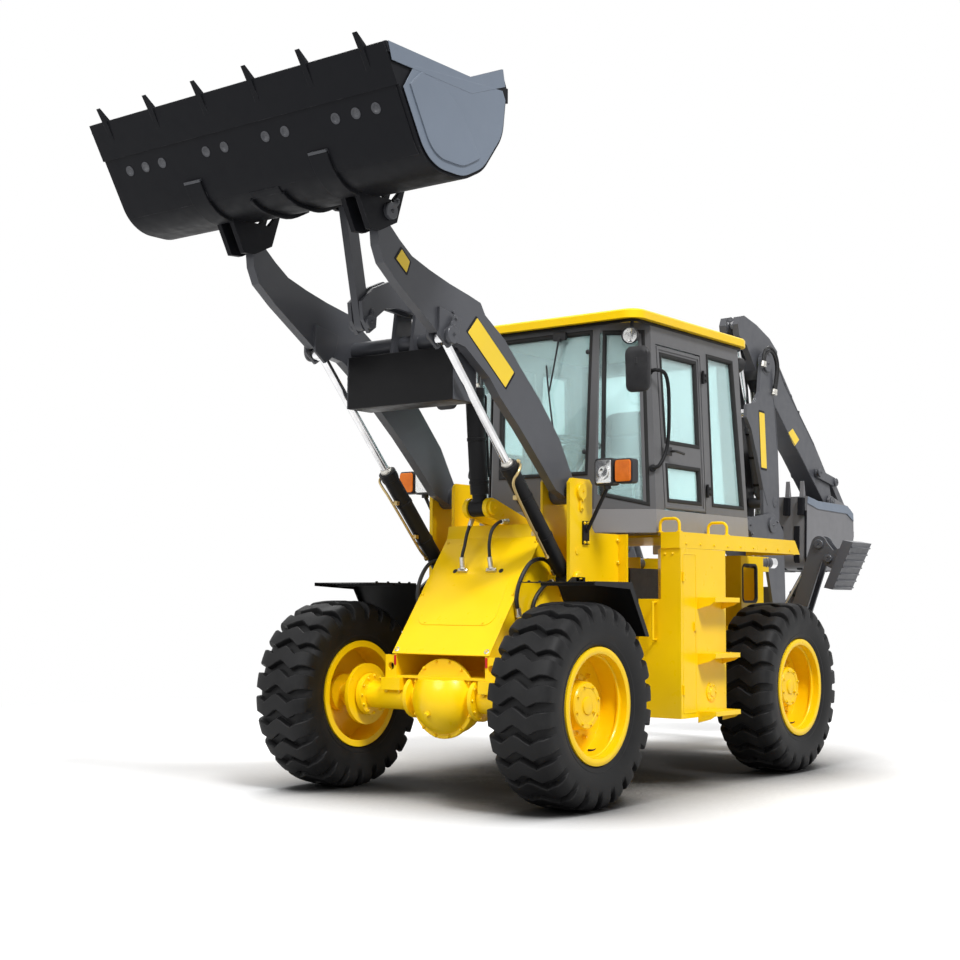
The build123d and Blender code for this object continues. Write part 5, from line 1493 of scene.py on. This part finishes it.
flush_pin = [(0, 0.045), (0.003, 0.045), (0.0045, 0.041), (0.0045, 0.012), (0.002, 0.01)]
cylinder_pin = disc_on((boom_side, *dipper_ram_base), rightwards, *flush_pin, sides=28)
piece("boom_cylinder_pin", both([cylinder_pin]), charcoal, "boom")
boom_plate = [(3880, 2245), (3985, 2240), (3950, 2725), (3850, 2730)]
dipper_plate = [(4465, 2599), (4562, 2650), (4695, 2560), (4596, 2491)]
for name, plate, look, body, slot in [
        ("boom_plate_border", side_plate(boom_side, boom_plate, 10), black, "boom", "black_paint"),
        ("boom_plates", side_plate(boom_side, boom_plate, 8, -18, 1.5), yellow_plate, "boom", "yellow_paint"),
        ("dipper_plates", side_plate(dipper_side, dipper_plate, 6, -6, 0, 1.5), yellow_plate, "dipper",
         "yellow_paint")]:
    piece(name, both([plate]), look, body)

boom_runs = [(3800, 2400), (3915, 2100), (3990, 1960)], [(4180, 2440), (4150, 2680), (4120, 2850)]
dipper_runs = ([(4310, 3140), (4418, 3005), (4701, 2776), (4985, 2542)],
               [(5190, 2030), (4884, 2282), (4692, 2440), (4502, 2578), (4235, 2800), (4080, 3010)])
for body, x, runs, radius in [("boom", boom_side, boom_runs, 0.0035),
                              ("dipper", dipper_side, dipper_runs, 0.0045)]:
    beads = [weld([(x, y, z) for y, z in run], radius) for run in runs]
    piece(f"{body}_welds", both(beads), charcoal, body)

# %% Backhoe cylinders
rams = [("boom_ram", boom_ram_base, boom_lug, 48, 700, 25, (160, 420)),
        ("dipper_ram", dipper_ram_base, dipper_tail, 42, 640, 20, (150, 380)),
        ("bucket_ram", bucket_ram_base, hoe_rocker_end, 36, 880, 20, (200, 560))]
for name, base, end, radius, head, rod, bands in rams:
    dark, shiny = ram_trim(base, end, 0, radius, head, rod, bands)
    side = radius * 0.75
    route = [(head - 34, radius * 0.5, side), (head - 45, radius + 14, side * 0.7),
             (head - 90, radius + 16, side * 0.5), (bands[0], radius + 14, side * 0.5),
             (bands[0] - 50, radius + 12, side * 0.6)]
    steel = [pipe_on_ram(base, end, 0, route, 0.007)]
    piece(f"{name}_bands", dark, black, f"{name}_barrel")
    piece(f"{name}_pipe", steel, brass, f"{name}_barrel")
    piece(f"{name}_wiper", shiny, zinc, f"{name}_barrel")

# %% [markdown]
# Steel pipes run up both sides of the boom and along the dipper's back, held by small clamps. At the
# boom's foot and head short hoses would bridge the joints; here each group ends in fittings on its
# own body, so that nothing stretches when a joint turns.

# %% Pipes on the boom and the dipper
boom_route = [(4220, 1905), (4220, 2100), (4208, 2440), (4180, 2690), (4150, 2860), (4116, 3060)]
dipper_route = [(4330, 3180), (4440, 3018), (4560, 2915), (4714, 2790), (4860, 2672)]
boom_clamps = [brick(at(42, y - 12, z - 14), at(100, y + 20, z + 14), 0.004)
               for y, z in [(4212, 2080), (4200, 2440), (4150, 2800)]]
dipper_clamps = [brick(at(26, y - 22, z - 20), at(76, y + 22, z + 24), 0.004)
                 for y, z in [(4440, 3006), (4700, 2790)]]
for body, xs, route, metal, clamps in [("boom", (60, 84), boom_route, zinc, boom_clamps),
                                       ("dipper", (40, 62), dipper_route, brass, dipper_clamps)]:
    pipes = [wire([(x, y, z) for y, z in route], 0.0085) for x in xs]
    piece(f"{body}_pipes", both(pipes), metal, body)
    piece(f"{body}_pipe_clamps", both(clamps), black, body)
loops = [[(142, 4120 - d, 2880), (148, 4148 - d, 2990), (152, 4165 - d, 3110), (152, 4125 - d, 3215 - d / 2),
          (150, 4020, 3262 - d), (146, 3935 + d / 2, 3215 - d), (142, 3900 + d, 3090)] for d in (0, 30)]
hoses("boom_head_hoses", loops, 0.012, "boom", 0.045, ends="boom_head_fittings")

# %% [markdown]
# The digging bucket has a rim band, wear strips round its heel and four teeth with adapters. The
# strips are pieces of the bucket's own outline moved outwards, as on the loader's bucket.

# %% Digging bucket
hoe_line = rounded([(4500, 2060), (4470, 1442), (5080, 1442), (5440, 1720), (5440, 1955)],
                   [0, 110, 110, 110, 0], 10)
hoe_parts = shell_strips(hoe_line, (-150, 0, 150), 26, 250, 1500, 8)
hoe_parts += shell_strips(hoe_line, (-231, 231), 9, 120, 1700, 6, 36)
# The digging bucket's strips take the darkened charcoal, painted shade.
piece("hoe_bucket_strips", hoe_parts, bucket_painted_shade, "hoe_bucket")
rim = [(4500, 2000), (4515, 2058), (4700, 2030), (5300, 2020), (5420, 1960), (5430, 1890), (5290, 1950),
       (4700, 1962)]
adapter = [(4452, 1900), (4468, 2050), (4540, 2052), (4532, 1900)]
tooth_parts = [side_slab(adapter, x, 0.052, 0.006) for x in (-0.221, -0.091, 0.039, 0.169)]
# The digging bucket's rim band takes the lightened charcoal, painted light.
piece("hoe_bucket_rim", both([side_slab(rim, 0.2395, 0.008, 0.002)]), bucket_painted_light, "hoe_bucket")
# The tooth adapters take the darkened charcoal, painted shade.
piece("hoe_tooth_adapters", tooth_parts, bucket_painted_shade, "hoe_bucket")

# %% [markdown]
# ## Rear frame, stabilizers and lamps
# Each stabilizer leg carries a ribbed street pad. A grey cylinder on each side of the frame swings
# the backhoe. Lamps and a blank number plate finish the back.

# %% Stabilizers
def cross_pin_head(x, y, z, radius, facing):
    """A pin's end that faces along the machine: a chamfered disc with a grease nipple."""
    face = [(0, radius), (0.012, radius), (0.016, radius - 0.004), (0.016, 0.01), (0.013, 0.008)]
    nipple = [(0.012, 0.004), (0.022, 0.004), (0.026, 0.0025)]
    return [disc_on((x, y, z), [0, facing, 0], *face, sides=26),
            disc_on((x, y, z), [0, facing, 0], *nipple, sides=8)]


leg_y = 3455
ram_foot, ram_end = np.array([385, 870.0]), np.array([850, 1610.0])
pad_outer = np.array([(1169, 1615), (1005, 1267)], float)
pad_run = (pad_outer[1] - pad_outer[0]) / np.linalg.norm(pad_outer[1] - pad_outer[0])
pad_out = np.array([-pad_run[1], pad_run[0]])
ribs = []
for share in np.linspace(0.1, 0.94, 7):
    foot = pad_outer[0] + (pad_outer[1] - pad_outer[0]) * share
    ribs.append(end_slab([foot - pad_run * 9, foot + pad_run * 9, foot + pad_run * 4 + pad_out * 11,
                          foot - pad_run * 4 + pad_out * 11], leg_y + 166, 0.332, 0.002))
pad_pins = cross_pin_head(937, leg_y - 84, 1499, 0.03, -1) + cross_pin_head(937, leg_y + 84, 1499, 0.03, 1)
leg_pins = cross_pin_head(850, leg_y - 60, 1610, 0.036, -1) + cross_pin_head(850, leg_y + 60, 1610, 0.036, 1)
pivot_boss = disc_on((526, leg_y - 60, 680), [0, -1, 0], (-0.002, 0.05), (0.003, 0.05), (0.005, 0.046),
                     sides=24)
ram_run = (ram_end - ram_foot) / np.linalg.norm(ram_end - ram_foot)


def on_leg_ram(distance):
    """A place on the left stabilizer's cylinder line, at a distance from its base pin."""
    x, z = ram_foot + ram_run * distance
    return at(x, leg_y, z)


ram_axis = np.array([ram_run[0], 0, ram_run[1]])
bands = [hoop([(0, 0.0335), (0.001, 0.038), (0.018, 0.038), (0.019, 0.0335)], on_leg_ram(d), ram_axis, 28)
         for d in (150, 420)]
leg_pipe = [on_leg_ram(d) - [0, off / 1000, 0] for d, off in
            [(618, 30), (600, 50), (560, 52), (300, 50), (160, 48), (110, 40)]]
pipes = [tube(smooth_line(leg_pipe), 0.007)]
wipers = [hoop([(0, 0.03), (0.012, 0.03), (0.02, 0.026), (0.022, 0.0186), (0, 0.0186)], on_leg_ram(640),
               ram_axis, 24)]
for side in ("left", "right"):
    for kind, parts, look, body, slot in [("pad_ribs", ribs + pad_pins, charcoal, "pad", "charcoal_paint"),
                                          ("leg_pins", leg_pins, charcoal, "leg", "charcoal_paint"),
                                          ("leg_bands", bands, black, "barrel", "black_paint"),
                                          ("leg_pipe", pipes, zinc, "barrel", "chrome_rod"),
                                          ("leg_wiper", wipers, zinc, "barrel", "chrome_rod")]:
        piece(f"{kind}_{side}", of_side(side, parts), look, f"stabilizer_{body}_{side}")

# %% Rear frame fittings
carrier_back = 3540
backwards = np.array([0, 1.0, 0])
frame_parts = [pivot_boss, *cross_pin_head(385, carrier_back, 870, 0.032, 1),
               *cross_pin_head(526, carrier_back, 680, 0.042, 1)]
frame_parts += bolts([at(x, carrier_back, z) for x in (580, 330) for z in (600, 1090)], backwards,
                     0.011, 0.011)
frame_parts.append(weld([(557, 2702, 1010), (557, 2702, 1505)]))
piece("rear_frame_fittings", both(frame_parts), yellow, "chassis")
opening = rounded([(2735, 1180), (2950, 1180), (2950, 1440), (2735, 1440)], [30] * 4)
border = strip_round(opening, lambda flat, lift: wall(555 + lift, *flat.T),
                     [(-14, -1), (-14, 3), (-10, 5), (0, 5), (4, 2), (4, -18), (0, -18)])
piece("frame_opening_edges", both([border]), seal_rubber, "chassis")
swing_cover = [(0.0, 0.03), (0.004, 0.043), (0.03, 0.0445), (0.05, 0.0432), (0.3, 0.0432), (0.302, 0.047),
               (0.345, 0.047), (0.35, 0.04), (0.352, 0.026)]
swing_band = [(0, 0.0425), (0.001, 0.0465), (0.02, 0.0465), (0.021, 0.0425)]
swing_parts = [disc_on((500, 2895, 1470), backwards, *swing_cover, sides=32)]
swing_parts += [hoop(swing_band, at(500, y, 1470), backwards, 32) for y in (2990, 3150)]
piece("swing_cylinders", both(swing_parts), charcoal, "chassis")
swing_rod = disc_on((500, 3249, 1470), backwards, (0, 0.0425), (0.006, 0.0428), (0.07, 0.0428),
                    (0.08, 0.0425), sides=28)
piece("swing_rods", both([swing_rod]), chrome, "chassis")
post_parts = [disc_on((0, 3930, 1115), upwards, (0, 0.07), (0.012, 0.07), (0.018, 0.062), (0.018, 0.02),
                      sides=32)]
post_parts += bolts(ring_of(4, 0.05, at(0, 3930, 1132), upwards, 0.6), upwards, 0.008, 0.007)
piece("swing_pin_cap", post_parts, yellow, "chassis")

# %% Rear lamps and plate
lamp_bases, reds, rear_ambers = [], [], []
for x0, x1, group in [(850, 930, reds), (765, 840, rear_ambers)]:
    lamp_bases.append(brick(at(x0 - 4, 2775, 1520), at(x1 + 4, 2793, 1602), 0.004))
    group.append(lamp_box(x0, x1, 2792, 2804, 1526, 1596, 12, 0.004))
piece("rear_lamp_bases", both(lamp_bases), plastic, "chassis")
piece("rear_red_lenses", both(reds), lens_red, "chassis")
piece("rear_amber_lenses", both(rear_ambers), lens_amber, "chassis")
sign = lamp_box(-230, 230, 2777, 2780, 1530, 1600, 10, 0.001)
sign_finish = painted("blank_sign", (0.7, 0.7, 0.68), 0.4, 0.2, 0.03, 0.1, (0.8, 0.8, 0.8))
piece("blank_rear_plate", [sign], sign_finish, "chassis")
cap = disc_on((-850, 1290, deck_top), upwards, (0, 0.045), (0.02, 0.045), (0.03, 0.04), (0.032, 0.012),
              sides=28)
piece("filler_cap", [cap], plastic, "chassis")

# %% [markdown]
# ## Inside the cab
# Levers with round knobs stand beside the seat and the steering wheel. They show faintly through
# the glass.

# %% Levers
levers, knobs = [], []
knob = [(-0.02, 0.01), (-0.01, 0.019), (0.008, 0.022), (0.024, 0.016), (0.03, 0.005)]
for x, y, z, dx, dy, height in [(-330, 1560, 1700, 0, -40, 360), (-370, 1600, 1700, 0, -30, 330),
                                (330, 1600, 1700, 0, -40, 330), (110, 1240, 2030, 60, 10, 110),
                                (-110, 1240, 2030, -60, 10, 110)]:
    foot, head = at(x, y, z), at(x + dx, y + dy, z + height)
    levers.append(tube(smooth_line([foot, (foot + head) / 2 + [0, 0.01, 0], head], 6), 0.007, 8))
    d = (head - foot) / np.linalg.norm(head - foot)
    knobs.append(turned(knob, head, d, 18))
piece("cab_levers", levers, zinc, "chassis")
piece("cab_lever_knobs", knobs, plastic, "chassis")
print("backhoe and back dressed")

# %% [markdown]
# ## The floor
# A pale floor takes the machine's shadow. Seen by the camera it fades into the white backdrop with
# distance, and for rays that only carry light it is greyer, so that it doesn't light the bellies.
# Ambient occlusion, which tells how much of the sky a point can't see, darkens its colour under the machine:
# a painted shadow.

# %% Floor
floor_size = 60.0
floor_points = np.array([(-1, -1, 0), (1, -1, 0), (1, 1, 0), (-1, 1, 0)]) * floor_size
fade_start, fade_end = 3.2, 8.5
shade_reach = 1.7
floor_mesh = bpy.data.meshes.new("floor")
floor_mesh.from_pydata(floor_points.tolist(), [], [[0, 1, 2, 3]])
floor = placed("floor", floor_mesh)
floor_finish, tree, shader, where = finish("floor")
seen = seen_rays(tree)
# The floor's colour goes to near black where ambient occlusion is strong: a painted shadow under the machine.
close = add(tree, "AmbientOcclusion", {"Distance": shade_reach}, samples=16)
open_share = ranged(tree, close.outputs["AO"], 0.42, 0.96)
pale = mixed(tree, open_share, (0.02, 0.02, 0.02), (0.97, 0.97, 0.97))
looks = {"Base Color": mixed(tree, seen, (0.42, 0.42, 0.42), pale), "Roughness": 0.9,
         "Specular IOR Level": 0.1}
for socket, value in looks.items():
    feed(tree, shader.inputs[socket], value)
white = add(tree, "Emission", {"Color": (1, 1, 1)})
distance = add(tree, "VectorMath", {0: where}, operation="LENGTH").outputs["Value"]
fade = times(tree, ranged(tree, distance, fade_start, fade_end), seen)
blend = add(tree, "MixShader", {0: fade, 1: shader.outputs[0], 2: white.outputs[0]})
feed(tree, tree.nodes["Material Output"].inputs["Surface"], blend.outputs[0])
floor_mesh.materials.append(floor_finish)
print("floor laid")
